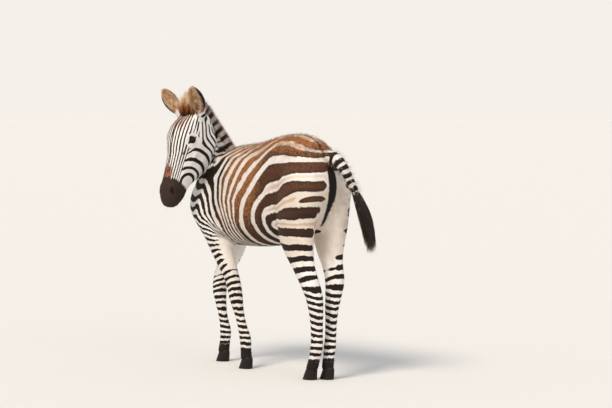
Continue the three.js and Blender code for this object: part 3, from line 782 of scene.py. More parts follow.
# Black lids with a white ring round them, and dark strokes over the brow and below the eye.
lid_rim = np.zeros(len(points))
lid_ring = np.zeros(len(points))
for way in (-1, 1):
    away, turn, lift, limit, _, near = about_eye(points, way)
    corner_past = np.abs(lift) - limit + 0.55 * np.maximum(np.abs(turn) - LID_HALF, 0)
    lid_rim = np.maximum(lid_rim, near * smooth_step(0.34, 0.20, corner_past))
    lid_ring = np.maximum(lid_ring, smooth_step(0.042, 0.034, np.linalg.norm(away, axis=1)))
brow_gap = head_line_gap([(0.071, 0.020, -0.011), (0.069, 0.055, -0.036), (0.076, 0.092, -0.040)])
tear_gap = head_line_gap([(0.066, 0.160, -0.022), (0.058, 0.186, -0.020), (0.052, 0.215, -0.024)])
stroke = 2.4 * soft_peak(brow_gap / 0.0085) - 1.5 * soft_peak(brow_gap / 0.017)
stroke += 2.6 * soft_peak(tear_gap / 0.0035)
stroke = (stroke - 1.4 * lid_ring) * on_head_share

muzzle = on_head_share * smooth_step(0.326, 0.364, along + 0.15 * np.abs(side) + 0.25 * (above + 0.05))
spine = 0.022 - 0.115 * np.square(x + 0.480)
back_line = belongs["trunk"] * smooth_step(0.012, 0.006, np.abs(y - spine))
back_line = back_line * smooth_step(0.4, 0.7, normals[:, 2]) * smooth_step(0.9, 0.95, z)
# Painted shade: a black strip down the cleft between the buttocks under the tail, where shade falls. It is
# widest a little below the tail's root.
shade_half_width = np.interp(z, [0.66, 0.76, 0.84, 0.90, 0.95, 0.98], [0.001, 0.008, 0.019, 0.022, 0.019, 0.006])
painted_shade_under_tail = smooth_step(shade_half_width + 0.010, shade_half_width - 0.006, np.abs(y)) * smooth_step(-0.07, -0.03, x)
painted_shade_under_tail = painted_shade_under_tail * (belongs["trunk"] + belongs["legs"])
painted_shade_under_tail = painted_shade_under_tail * smooth_step(0.64, 0.72, z) * smooth_step(1.0, 0.97, z)
pastern = belongs["legs"] * smooth_step(0.105, 0.075, z)
# The black places, and the painted shade under the tail with them.
black_and_shade = np.clip(muzzle + 0.58 * back_line + painted_shade_under_tail + pastern, 0, 1)
black_and_shade = np.maximum(black_and_shade, on_head_share * lid_rim)

# Faint tan stripes lie between the dark ones of the haunch, and a rusty patch above the muzzle.
shadow = smooth_step(-0.34, -0.20, x) * smooth_step(0.62, 0.72, z) * smooth_step(1.0, 0.86, z)
shadow = shadow * (1 - on_head_share) * (1 - rump) * 0.7
nose_gap = np.hypot((along - 0.316) / 0.056, (np.abs(side) - 0.004) / 0.038)
rusty = on_head_share * (smooth_step(1.25, 0.2, nose_gap) + 0.42 * patch) * smooth_step(-0.055, -0.03, above)

# ---- The ears' colours ---------------------------------------------------------------------------
# The ears are leaves of gristle under thin fur. Inside they are golden with dark spots and a black
# rim. Outside they are white, with a broad black band below the tip.
EAR_LENGTH = 0.166
EARS = {"left": (-1, 14, -56, 34), "right": (1, 44, -32, -30)}  # side, lean, back and twist in degrees
EAR_ROOT = (0.068, 0.014, -0.040)  # side, along and above on the head
EAR_STATIONS = [0.0, 0.35, 0.6, 0.82, 1.0]  # shares of its length at which half its width is given


def turned(vector, axis, angle):
    """A vector turned about an axis."""
    return np.array(Matrix.Rotation(angle, 3, Vector(axis)) @ Vector(vector))


def ear_axes(way, lean, back, twist):
    """The root of an ear, and its directions to the tip, across, and out of its open side."""
    lean, back = math.radians(lean), math.radians(back)
    tip = head_right * way * math.sin(lean) - face_line * math.cos(lean) * math.cos(back)
    tip = unit(tip - brow_up * math.cos(lean) * math.sin(back))
    across = turned(head_right, tip, math.radians(-way * twist))
    across = unit(across - tip * (across @ tip))
    return from_head(way * EAR_ROOT[0], *EAR_ROOT[1:]), tip, across, -np.cross(across, tip)


ear_gold = np.zeros(len(points))
ear_black = np.zeros(len(points))
for shape in EARS.values():
    root, tip, across, front = ear_axes(*shape)
    away = points - root
    share = (away @ tip) / EAR_LENGTH
    half = np.interp(share, EAR_STATIONS, [0.026, 0.037, 0.037, 0.027, 0.008])
    aside = np.abs(away @ across) / half
    on_this = belongs["ears"] * (np.linalg.norm(away, axis=1) < 0.20)
    inside = smooth_step(-0.1, 0.3, normals @ front) * smooth_step(1.02, 0.90, aside)
    ear_gold += on_this * inside * smooth_step(0.05, 0.2, share)
    rim = smooth_step(0.80, 0.92, aside) * smooth_step(-0.25, 0.15, normals @ front)
    rim = rim * smooth_step(0.12, 0.26, share)
    band = smooth_step(0.42, 0.50, share) * smooth_step(0.84, 0.76, share)
    band = band * smooth_step(0.0, -0.3, normals @ front)
    ear_black += on_this * np.clip(rim * 0.9 + band, 0, 1)
black_and_shade = np.maximum(black_and_shade, np.clip(ear_black, 0, 1))
fluff = smooth_step(0.97, 1.09, z) * belongs["trunk"] * smooth_step(0.1, 0.8, normals[:, 2]) * 0.8
fluff = np.maximum(fluff, np.clip(ear_gold, 0, 1))  # the croup's fluff has the ears' colours

# What each piece of skin and coat carries for its paint, three numbers at a time.
marks = {
    "place": points.copy(),
    "stripe": counts,
    "rate": rate,
    "weight": np.stack([weight_a, weight_b, weight_c], axis=1),
    "tone": np.stack([brown, cream, duty], axis=1),
    "shade": np.stack([black_and_shade, shadow, rusty], axis=1),
    "extra": np.stack([wedge + stroke - 1.7 * bare, fluff, muzzle], axis=1),
}

# ---- The hair's paint ----------------------------------------------------------------------------
# Short hair is dull and takes its colour from the counts and tones that every piece carries, so that
# skin and coat match. Its stripes have uneven edges, and each tuft is a little lighter or darker.
WHITE, CREAM, TAN = "#faf5ef", "#e3d2bf", "#c9a081"  # the ground, where it is warmer, and faint stripes
INK, CORE_BROWN, PALE_BROWN = "#140a06", "#50311f", "#a96f42"  # dark stripes, from black to pale
# PITCH is the black of the black places and of the painted shade under the tail; MUZZLE_BROWN is the
# muzzle's.
PITCH, MUZZLE_BROWN = "#1b1310", "#35251f"
RUST_DARK, RUST_PALE = "#5c3424", "#a3694a"
FLUFF_DARK, FLUFF_BROWN, FLUFF_PALE = "#4a2a15", "#c58a50", "#ecd2a8"
# Sizes of the coat's unevenness, in metres: long bends of the stripes, their ragged edges, patches in
# the tone, specks in the brown hair, and the nap, which is drawn coarser than single hairs to show.
COAT_NOISES = {"bends": 0.110, "edges": 0.0143, "patches": 0.038, "specks": 0.0105, "nap": 0.0024}
BEND_DEPTH, EDGE_DEPTH = 0.024, 0.012  # how far bends and edges move a stripe, in metres
NAP_DEPTH = 0.001
DULL = {"Roughness": 0.75, "Specular IOR Level": 0.25}
MATH, RANGE, MIX, CARRIED = "ShaderNodeMath", "ShaderNodeMapRange", "ShaderNodeMix", "ShaderNodeAttribute"
SOFT = {"interpolation_type": "SMOOTHSTEP"}
COLOUR = {"data_type": "RGBA"}


def hair_paint(name, ends=None):
    """Paint for short striped hair. ends gives a colour for the tips, and where it starts and ends."""
    material, tree = new_material(name)
    carried = {}
    for key in ("stripe", "rate", "weight", "tone", "shade", "extra"):
        found = add(tree, CARRIED, attribute_name=key)
        carried[key] = add(tree, "ShaderNodeSeparateXYZ", {0: found.outputs["Vector"]}).outputs
    place = add(tree, CARRIED, attribute_name="place").outputs["Vector"]
    noise = {}
    for key, size in COAT_NOISES.items():
        inputs = {"Vector": place, "Scale": 1 / size, "Detail": 2.0, "Roughness": 0.6}
        noise[key] = add(tree, "ShaderNodeTexNoise", inputs)
    brown, cream, duty = carried["tone"]
    black_and_shade, shadow, rusty = carried["shade"]
    total, fluff, muzzle = carried["extra"]

    # How far each point is inside a dark stripe.
    bend = add(tree, MATH, {0: noise["bends"], 1: BEND_DEPTH, 2: -BEND_DEPTH / 2}, operation="MULTIPLY_ADD")
    wobble = add(tree, MATH, {0: noise["edges"], 1: EDGE_DEPTH, 2: -EDGE_DEPTH / 2}, operation="MULTIPLY_ADD")
    bend = add(tree, MATH, {0: bend, 1: wobble}, operation="ADD")
    for count, rate, weight in zip(carried["stripe"], carried["rate"], carried["weight"]):
        moved = add(tree, MATH, {0: rate, 1: bend, 2: count}, operation="MULTIPLY_ADD")
        turn = add(tree, MATH, {0: moved, 1: 2 * math.pi}, operation="MULTIPLY")
        wave = add(tree, MATH, {0: turn}, operation="COSINE")
        total = add(tree, MATH, {0: wave, 1: weight, 2: total}, operation="MULTIPLY_ADD")
    turn = add(tree, MATH, {0: duty, 1: math.pi}, operation="MULTIPLY")
    limit = add(tree, MATH, {0: turn}, operation="COSINE")
    over = add(tree, MATH, {0: total, 1: limit}, operation="SUBTRACT")
    dark = add(tree, RANGE, {0: over, 1: -0.14, 2: 0.14}, **SOFT)
    core = add(tree, RANGE, {0: over, 1: 0.15, 2: 0.9}, **SOFT)

    # The dark hair: brown and speckled in wide stripes, with nearly black edges.
    specks = add(tree, MATH, {0: noise["specks"], 1: 2.6, 2: -1.3}, operation="MULTIPLY_ADD")
    specks = add(tree, MATH, {0: brown, 1: specks}, operation="ADD")
    specks = add(tree, RANGE, {0: specks, 1: 0.25, 2: 1.0}, **SOFT)
    pale = add(tree, RANGE, {0: brown, 1: 0.34, 2: 0.85}, **SOFT)
    pale = add(tree, MATH, {0: specks, 1: pale}, operation="MULTIPLY")
    warm = add(tree, RANGE, {0: brown, 1: 0.0, 2: 0.5}, **SOFT)
    stripe = add(tree, MIX, {0: warm, 6: INK, 7: CORE_BROWN}, **COLOUR)
    stripe = add(tree, MIX, {0: pale, 6: stripe, 7: PALE_BROWN}, **COLOUR)
    edge = add(tree, MATH, {0: core, 1: -0.65, 2: 0.65}, operation="MULTIPLY_ADD")
    plain = add(tree, MATH, {0: 1.0, 1: pale}, operation="SUBTRACT")
    edge = add(tree, MATH, {0: edge, 1: plain}, operation="MULTIPLY")
    stripe = add(tree, MIX, {0: edge, 6: stripe, 7: INK}, **COLOUR)

    # The pale hair, with faint tan stripes between the dark ones on the haunch.
    ground = add(tree, MIX, {0: cream, 6: WHITE, 7: CREAM}, **COLOUR)
    between = add(tree, RANGE, {0: total, 1: -0.80, 2: -1.0}, **SOFT)
    between = add(tree, MATH, {0: between, 1: shadow}, operation="MULTIPLY")
    ground = add(tree, MIX, {0: between, 6: ground, 7: TAN}, **COLOUR)

    # Golden spotted fluff, the rusty patch on the nose, and the black places lie over these, with the
    # painted shade under the tail among the black places.
    low = add(tree, RANGE, {0: noise["patches"], 1: 0.35, 2: 0.50}, **SOFT)
    high = add(tree, RANGE, {0: noise["patches"], 1: 0.50, 2: 0.68}, **SOFT)
    golden = add(tree, MIX, {0: low, 6: FLUFF_DARK, 7: FLUFF_BROWN}, **COLOUR)
    golden = add(tree, MIX, {0: high, 6: golden, 7: FLUFF_PALE}, **COLOUR)
    spots = add(tree, RANGE, {0: noise["specks"], 1: 0.40, 2: 0.60}, **SOFT)
    rust = add(tree, MIX, {0: spots, 6: RUST_DARK, 7: RUST_PALE}, **COLOUR)
    pitch = add(tree, MIX, {0: muzzle, 6: PITCH, 7: MUZZLE_BROWN}, **COLOUR)
    uneven = add(tree, MATH, {0: noise["edges"], 1: 0.9, 2: -0.45}, operation="MULTIPLY_ADD")
    rusted = add(tree, MATH, {0: rusty, 1: uneven}, operation="ADD")
    rusted = add(tree, RANGE, {0: rusted, 1: 0.2, 2: 0.9}, **SOFT)
    blacked_and_shaded = add(tree, MATH, {0: black_and_shade, 1: uneven}, operation="ADD")
    blacked_and_shaded = add(tree, RANGE, {0: blacked_and_shaded, 1: 0.25, 2: 0.75}, **SOFT)
    colour = ground
    for share, tint in ((fluff, golden), (dark, stripe), (rusted, rust), (blacked_and_shaded, pitch)):
        colour = add(tree, MIX, {0: share, 6: colour, 7: tint}, **COLOUR)
    if ends:
        tip = add(tree, CARRIED, attribute_name="tip").outputs["Fac"]
        tip = add(tree, RANGE, {0: tip, 1: ends[1], 2: ends[2]}, **SOFT)
        colour = add(tree, MIX, {0: tip, 6: colour, 7: ends[0]}, **COLOUR)

    # Each tuft and patch is a little lighter or darker than the next.
    vary = add(tree, CARRIED, attribute_name="vary").outputs["Fac"]
    vary = add(tree, MATH, {0: vary, 1: 0.22, 2: 0.78}, operation="MULTIPLY_ADD")
    patches = add(tree, MATH, {0: noise["patches"], 1: 0.30, 2: 0.85}, operation="MULTIPLY_ADD")
    bright = add(tree, MATH, {0: vary, 1: patches}, operation="MULTIPLY")
    grey = add(tree, "ShaderNodeCombineColor", {0: bright, 1: bright, 2: bright})
    colour = add(tree, MIX, {0: 1.0, 6: colour, 7: grey}, blend_type="MULTIPLY", **COLOUR)
    bump = add(tree, "ShaderNodeBump", {"Height": noise["nap"], "Strength": 0.5, "Distance": NAP_DEPTH})
    shade = add(tree, "ShaderNodeBsdfPrincipled", {"Base Color": colour, "Normal": bump, **DULL})
    add(tree, "ShaderNodeOutputMaterial", {"Surface": shade})
    return material


# Foal's coat: short, dull and soft, white to cream under stripes from black to pale brown.
coat_paint = hair_paint("coat")

# ---- The coat ------------------------------------------------------------------------------------
# Tufts of hair grow from the whole skin: long and fluffy on the back, short on the legs, and shortest
# on the face. The skin below them is painted as they are, with a nap for the hair between the tufts.
HAIR_TAPER, HAIR_FLATNESS = 0.7, 0.55  # the power by which hair narrows, and its thickness by its width
UV_PATCH = 0.003  # the size of a tuft's patch on its piece's map
UNWRAP_HEIGHT, UNWRAP_START, UNWRAP_LENGTH = 0.75, -1.1, 1.35  # the unwrap's axis along the body
# Length, width and rise of the tufts on each part of the body, in metres and degrees.
COAT = {
    "trunk": (0.0120, 0.0013, 15),
    "neck": (0.0120, 0.0013, 17),
    "head": (0.0055, 0.0008, 13),
    "ears": (0.0080, 0.0009, 18),
    "tail": (0.0260, 0.0016, 41),
    "legs": (0.0042, 0.0010, 10),
}
BACK_LONGER, BACK_RISE = 0.010, math.radians(10)  # along the top of the back
FETLOCK_LONGER, FETLOCK_RISE = 0.010, math.radians(12)  # behind the fetlocks
HOOF_FRINGE = 0.005  # how much longer the hair is just above the hooves
ROOT_DEPTH = 0.0008  # how far under the skin the tufts start
TUFTS_PER_PIECE = 14_500
# Pieces of the coat: how many there are, and the parts that they cover together.
COAT_PIECES = {
    "coat_head": (1, ["head", "ears"]),
    "coat_neck": (1, ["neck"]),
    "coat_trunk": (3, ["trunk", "tail"]),
    "coat_fore_legs": (1, FORE_LEGS),
    "coat_hind_legs": (2, HIND_LEGS),
}

# Hair lies back and down on the body, down the legs and the face, and up to the tips of the ears.
lie = np.zeros_like(points)
lie += belongs["trunk"][:, None] * np.array([0.9, 0, -0.45])
lie += belongs["neck"][:, None] * (np.array([0, 0, -0.35]) - neck_way)
lie += belongs["head"][:, None] * (face_line * 0.9 - brow_up * 0.25)
lie -= belongs["ears"][:, None] * face_line
lie += belongs["legs"][:, None] * np.array([0.05, 0, -1.0])
lie += belongs["tail"][:, None] * tail_way
lie = relaxed(skin_mesh, lie, 20)
lie -= normals * np.sum(lie * normals, axis=1, keepdims=True)
lie /= np.maximum(np.linalg.norm(lie, axis=1, keepdims=True), 1e-6)


def put_values(mesh, name, values):
    """Stores a number or a vector for every point of a mesh."""
    kind = "FLOAT" if values.ndim == 1 else "FLOAT_VECTOR"
    layer = mesh.attributes.new(name, kind, "POINT")
    layer.data.foreach_set("value" if values.ndim == 1 else "vector", values.astype(np.float32).ravel())


def add_piece(name, mesh, material, slot, *replaced):
    """A finished piece of the animal, with what it moves with and what it stands for. slot is not used."""
    piece = new_object(name, mesh, material)
    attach(piece, "root")
    if replaced:
        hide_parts(*replaced)


def around_axis(roots):
    """An unwrap of the skin's own shape: the turn about the body's length, and the length."""
    away = roots - ORIGIN
    turn = np.arctan2(away[:, 1], away[:, 2] - UNWRAP_HEIGHT) / (2 * math.pi) + 0.5
    length = np.clip((away[:, 0] - UNWRAP_START) / UNWRAP_LENGTH, 0, 1)
    return np.stack([turn, length], axis=1) * 0.96 + 0.02


def add_hair(name, material, slot, lines, width, flat, *replaced, values=None, at=None):
    """A piece of hair: thin closed spikes with three sides along lines of points (hairs, points, 3).
    They are widest at the root and thin along flat. Each has a small patch of its piece's map, by
    its root or by the place on the skin that at gives, and is a little lighter or darker than the next."""
    count, stations = lines.shape[:2]
    rings = stations - 1
    values = {**(values or {}), "vary": random.random(count)}
    along = unit(np.gradient(lines, axis=1))
    across = unit(np.cross(np.broadcast_to(flat, (count, 3))[:, None, :], along))
    rise = np.cross(along, across)
    wide = np.broadcast_to(width, count)[:, None] * np.linspace(1, 0.0, stations)[:rings] ** HAIR_TAPER
    corners = []
    for k in range(3):
        turn = 2 * math.pi * k / 3 + math.pi / 2
        reach = across[:, :rings] * math.cos(turn) + rise[:, :rings] * math.sin(turn) * HAIR_FLATNESS
        corners.append(lines[:, :rings] + reach * wide[:, :, None] / 2)
    verts = np.stack(corners, axis=2).reshape(count, rings * 3, 3)
    verts = np.concatenate([verts, lines[:, -1:]], axis=1)

    per_hair = rings * 3 + 1
    loops, sizes = [0, 2, 1], [3]
    for ring in range(rings):
        for k in range(3):
            a, b = ring * 3 + k, ring * 3 + (k + 1) % 3
            face = [a, b, b + 3, a + 3] if ring < rings - 1 else [a, b, rings * 3]
            loops += face
            sizes.append(len(face))
    loops = (np.array(loops) + np.arange(count)[:, None] * per_hair).ravel()
    sizes = np.tile(sizes, count)
    mesh = bpy.data.meshes.new(name)
    mesh.vertices.add(count * per_hair)
    mesh.vertices.foreach_set("co", verts.astype(np.float32).ravel())
    mesh.loops.add(len(loops))
    mesh.loops.foreach_set("vertex_index", loops.astype(np.int32))
    mesh.polygons.add(len(sizes))
    mesh.polygons.foreach_set("loop_start", (np.cumsum(sizes) - sizes).astype(np.int32))
    mesh.update(calc_edges=True)

    share = np.repeat(np.arange(rings) / rings, 3).tolist() + [1.0]
    offset = np.stack([[0, 0.5, 1] * rings + [0.5], share], axis=1) - 0.5
    roots = lines[:, 0] if at is None else at
    uv = (around_axis(roots)[:, None, :] + offset * UV_PATCH).reshape(-1, 2)
    layer = mesh.uv_layers.new(name="OFBake")
    layer.data.foreach_set("uv", uv[loops].astype(np.float32).ravel())
    for key, value in values.items():
        put_values(mesh, key, np.repeat(value, per_hair, axis=0))
    put_values(mesh, "tip", np.tile(np.array(share), count))
    add_piece(name, mesh, material, slot, *replaced)


coat_length = sum(belongs[part] * size[0] for part, size in COAT.items())
coat_width = sum(belongs[part] * size[1] for part, size in COAT.items())
coat_rise = sum(belongs[part] * math.radians(size[2]) for part, size in COAT.items())
back_top = belongs["trunk"] * smooth_step(0.45, 0.95, normals[:, 2]) * smooth_step(0.9, 1.05, own[:, 2])
coat_length += BACK_LONGER * back_top
coat_length *= 1 - 0.55 * muzzle
fetlock = belongs["legs"] * smooth_step(0.16, 0.09, own[:, 2]) * smooth_step(-0.3, 0.5, normals[:, 0])
hoof_fringe = HOOF_FRINGE * belongs["legs"] * smooth_step(0.075, 0.055, own[:, 2])
coat_length += FETLOCK_LONGER * fetlock + hoof_fringe
coat_rise += FETLOCK_RISE * fetlock
coat_rise += BACK_RISE * back_top

skin_mesh.calc_loop_triangles()
triangles = np.zeros(len(skin_mesh.loop_triangles) * 3, np.int32)
skin_mesh.loop_triangles.foreach_get("vertices", triangles)
triangles = triangles.reshape(-1, 3)
random = np.random.default_rng(7)


def scattered(weights, count):
    """Places spread over the skin in proportion to area and weight: corners of faces, and shares."""
    corner = points[triangles]
    area = np.linalg.norm(np.cross(corner[:, 1] - corner[:, 0], corner[:, 2] - corner[:, 0]), axis=1)
    chance = area * weights[triangles].mean(axis=1)
    chance = np.cumsum(chance / chance.sum())
    chosen = np.searchsorted(chance, (np.arange(count) + random.random(count)) / count)
    chosen = np.minimum(chosen, len(triangles) - 1)
    a, b = random.random(count), random.random(count)
    over = a + b > 1
    a[over], b[over] = 1 - a[over], 1 - b[over]
    return triangles[chosen], np.stack([1 - a - b, a, b], axis=1)


def values_at(values, rows, shares):
    """The skin's values at scattered places."""
    shares = shares if values.ndim == 1 else shares[:, :, None]
    return (values[rows] * shares).sum(axis=1)


def add_coat(name, weights, count):
    """Tufts of the coat scattered by weight. They lie along the skin, bowed a little at the middle."""
    rows, shares = scattered(weights, count)
    root = values_at(points, rows, shares)
    normal = unit(values_at(normals, rows, shares))
    way = unit(values_at(lie, rows, shares) + random.normal(0, 0.16, (count, 3)))
    way = unit(way - normal * np.sum(way * normal, axis=1, keepdims=True))
    length = values_at(coat_length, rows, shares) * random.uniform(0.75, 1.25, count)
    width = values_at(coat_width, rows, shares) * random.uniform(0.8, 1.2, count)
    rise = values_at(coat_rise, rows, shares) * random.uniform(0.5, 1.5, count)
    up_step = (length * np.sin(rise))[:, None] * normal
    on_step = (length * np.cos(rise))[:, None] * way
    start = root - normal * ROOT_DEPTH
    middle = start + on_step * 0.5 + up_step * 0.75
    end = start + on_step + up_step * 0.95
    lines = np.stack([start, middle, end], axis=1)
    values = {key: values_at(value, rows, shares) for key, value in marks.items()}
    add_hair(name, coat_paint, "coat", lines, width, normal, values=values, at=root)


for name, (pieces, parts) in COAT_PIECES.items():
    weights = sum(belongs[part] for part in parts) / np.square(coat_length)
    for number in range(pieces):
        add_coat(f"{name}_{number + 1}", weights, TUFTS_PER_PIECE)
for key, value in marks.items():
    put_values(skin_mesh, key, value)
put_values(skin_mesh, "tip", np.zeros(len(points)))
put_values(skin_mesh, "vary", np.full(len(points), 0.5))
add_piece("skin", skin_mesh, coat_paint, "coat", *FLESH)

# ---- The mane ------------------------------------------------------------------------------------
# Stiff hair stands up along the crest of the neck, from the withers to between the ears. It goes on
# the neck's stripes, is brown at its tips, and leans a little to both sides.
MANE_HAIRS, MANE_WIDTH, MANE_HEIGHT = 5200, 0.0022, 0.058
MANE_START, MANE_SPAN = 0.16, 0.80  # shares of the neck's length
MANE_RISE = ([0, 0.15, 0.45, 0.8, 1], [0.25, 0.5, 0.8, 1.05, 0.9])  # its height along the crest
LINE_STEPS = 60
skin_tree = BVHTree.FromPolygons(points.tolist(), triangles.tolist())


def smooth_line(line):
    """Points evenly spread along a smooth curve through a few points."""
    line = np.array(line)
    padded = np.vstack([2 * line[0] - line[1], line, 2 * line[-1] - line[-2]])
    found = []
    for k in range(len(line) - 1):
        p0, p1, p2, p3 = padded[k : k + 4]
        for s in np.linspace(0, 1, 24, endpoint=False):
            bend = (2 * p0 - 5 * p1 + 4 * p2 - p3) * s**2
            found.append(0.5 * (2 * p1 + (p2 - p0) * s + bend + (3 * p1 - p0 - 3 * p2 + p3) * s**3))
    found.append(line[-1])
    found = np.array(found)
    passed = np.concatenate([[0], np.cumsum(np.linalg.norm(np.diff(found, axis=0), axis=1))])
    wanted = np.linspace(0, passed[-1], LINE_STEPS)
    return np.stack([np.interp(wanted, passed, found[:, axis]) for axis in range(3)], axis=1)


def at_shares(line, shares):
    """The places at shares of a line's length."""
    place = shares * (len(line) - 1)
    low = np.minimum(place.astype(int), len(line) - 2)
    return line[low] + (line[low + 1] - line[low]) * (place - low)[:, None]


def skin_hit(start, way, reach):
    """Where a line meets the skin, or its start if it doesn't."""
    found = skin_tree.ray_cast(Vector(start), Vector(way), reach)[0]
    return np.array(found) if found is not None else np.array(start)


def bunch(roots, directions, lengths, curl, stations):
    """Lines of points for hairs that start at roots and bend towards curl by their tips."""
    share = np.linspace(0, 1, stations)
    lines = [roots + directions * (lengths * s)[:, None] + curl * (lengths * s * s)[:, None] for s in share]
    return np.stack(lines, axis=1)


neck_fine = smooth_line(NECK_LINE) + ORIGIN
neck_turn = np.radians(smooth_line([(row[3], 0, 0) for row in NECK])[:, 0])
neck_step = unit(np.gradient(neck_fine, axis=0))
neck_side = np.stack([-np.sin(neck_turn), np.cos(neck_turn), 0 * neck_turn], axis=1)
neck_over = unit(np.cross(neck_side, neck_step))
crest = np.array([skin_hit(place, way, 0.4) for place, way in zip(neck_fine, neck_over)])

share = random.beta(1.3, 1.0, MANE_HAIRS)
place = MANE_START + MANE_SPAN * share
over, side, step = (unit(at_shares(ways, place)) for ways in (neck_over, neck_side, neck_step))
spread = random.normal(0, 0.5, MANE_HAIRS)
root = at_shares(crest, place) + side * (spread * 0.012)[:, None] - over * 0.004
height = (MANE_HEIGHT * np.interp(share, *MANE_RISE) + 0.004) * random.uniform(0.8, 1.08, MANE_HAIRS)
way = unit(over + side * (spread * 0.16)[:, None] + step * random.normal(0.05, 0.06, MANE_HAIRS)[:, None])
lines = bunch(root, way, height, step * 0.05 + random.normal(0, 0.05, (MANE_HAIRS, 3)), 4)
values = {key: np.zeros((MANE_HAIRS, 3)) for key in marks}
values["place"] = root
values["stripe"][:, 1] = NECK_FIRST + along_line(root - ORIGIN, NECK_LINE)[0] / NECK_PERIOD
values["rate"][:] = 1 / NECK_PERIOD
values["weight"][:, 1] = 1
values["tone"][:] = (0.35, 0.5, 0.5)
# Mane hair: stiff and dull, striped as the neck, with rust brown tips.
mane_paint = hair_paint("mane_hair", ("#6b3d20", 0.45, 1.3))
add_hair("mane_hair", mane_paint, "mane_hair", lines, MANE_WIDTH, side, "mane", values=values)

# ---- The forelock --------------------------------------------------------------------------------
# A thick messy bunch of soft hair stands between the ears, in locks that lean many ways. Each hair is
# dark at its root, rusty along its length, and bleached at its tip.
FORELOCK_HAIRS, FORELOCK_WIDTH, FORELOCK_LENGTH = 5200, 0.0021, 0.098
FORELOCK_LOCKS = 46


def long_hair_paint(name, *colours):
    """Paint for long hair that goes from one colour at its roots to another at its tips."""
    material, tree = new_material(name)
    tip = add(tree, CARRIED, attribute_name="tip").outputs["Fac"]
    vary = add(tree, CARRIED, attribute_name="vary").outputs["Fac"]
    spread = add(tree, MATH, {0: vary, 1: 0.5, 2: -0.25}, operation="MULTIPLY_ADD")
    place = add(tree, MATH, {0: tip, 1: spread}, operation="ADD")
    ramp = add(tree, "ShaderNodeValToRGB", {0: place})
    while len(ramp.color_ramp.elements) < len(colours):
        ramp.color_ramp.elements.new(0.5)
    for element, (position, colour) in zip(ramp.color_ramp.elements, colours):
        element.position = position
        element.color = linear(colour)
    shade = add(tree, "ShaderNodeBsdfPrincipled", {"Base Color": ramp, "Roughness": 0.6})
    add(tree, "ShaderNodeOutputMaterial", {"Surface": shade})
    return material


lock = random.integers(0, FORELOCK_LOCKS, FORELOCK_HAIRS)
lock_side = np.clip(random.normal(0.004, 0.024, FORELOCK_LOCKS), -0.036, 0.044)
lock_along = random.uniform(-0.014, 0.034, FORELOCK_LOCKS)
lock_lean = 0.12 + lock_side * 8.0 + random.normal(0, 0.18, FORELOCK_LOCKS)
lock_tilt = random.normal(-0.08, 0.20, FORELOCK_LOCKS) - 7.0 * lock_along
lock_length = FORELOCK_LENGTH * random.uniform(0.72, 1.05, FORELOCK_LOCKS) * (1 - 4.0 * np.abs(lock_side))
aside = lock_side[lock] + random.normal(0, 0.006, FORELOCK_HAIRS)
forward = lock_along[lock] + random.normal(0, 0.006, FORELOCK_HAIRS)
depth = -0.010 - 6.0 * np.square(aside)  # the poll falls away to both sides
root = from_head(aside[:, None], forward[:, None], depth[:, None])
lean = lock_lean[lock] + random.normal(0, 0.07, FORELOCK_HAIRS)
tilt = lock_tilt[lock] + random.normal(0, 0.07, FORELOCK_HAIRS)
way = unit(-face_line + head_right * lean[:, None] - brow_up * tilt[:, None])
height = lock_length[lock] * random.uniform(0.75, 1.06, FORELOCK_HAIRS)
to_tip = (lock_side[lock] - aside)[:, None] * head_right + (forward - lock_along[lock])[:, None] * -face_line
lines = bunch(root, way, height, to_tip * 6.0 + random.normal(0, 0.05, (FORELOCK_HAIRS, 3)), 4)
# Foal's fluff: soft and a little glossy, from dark roots over rust and gold to cream tips.
forelock_paint = long_hair_paint(
    "forelock_hair", (0.0, "#24110a"), (0.25, "#84401c"), (0.55, "#c47c3e"), (0.8, "#f3e0bd")
)
add_hair("forelock_hair", forelock_paint, "mane_hair", lines, FORELOCK_WIDTH, head_right, "forelock")

# ---- The ears' hair ------------------------------------------------------------------------------
# Long pale hair lines the inside of the ears and fringes their rims. It grows from the skin inside
# the open side, and leans inwards and up to the tip.
EAR_HAIRS, EAR_HAIR_WIDTH = 1500, 0.0011
# Ear hair: fine and soft, golden at its roots and cream at its tips.
ear_paint = long_hair_paint("ear_hair", (0.0, "#7d4f28"), (0.4, "#cf9b62"), (0.9, "#f6ead2"))
for ear, shape in EARS.items():
    base, tip, across, front = ear_axes(*shape)
    share = random.uniform(0.10, 0.92, EAR_HAIRS)
    half = np.interp(share, EAR_STATIONS, [0.022, 0.033, 0.034, 0.024, 0.008])
    aside = random.choice([-1, 1], EAR_HAIRS) * random.beta(2.5, 1.0, EAR_HAIRS)
    root = base + tip * (share * EAR_LENGTH)[:, None] + across * (aside * half)[:, None]
    found = [skin_tree.ray_cast(Vector(place + front * 0.03), Vector(-front), 0.06)[0] for place in root]
    root = np.array([place if hit is None else hit for place, hit in zip(root, found)])
    way = front * 0.5 + tip * 0.55 - across * (aside * 0.55)[:, None]
    way = unit(way + random.normal(0, 0.15, (EAR_HAIRS, 3)))
    height = random.uniform(0.014, 0.030, EAR_HAIRS) * (1 - 0.3 * share)
    lines = bunch(root - way * 0.001, way, height, tip * 0.25, 3)
    add_hair("ear_hair_" + ear, ear_paint, "coat", lines, EAR_HAIR_WIDTH, across, at=root)

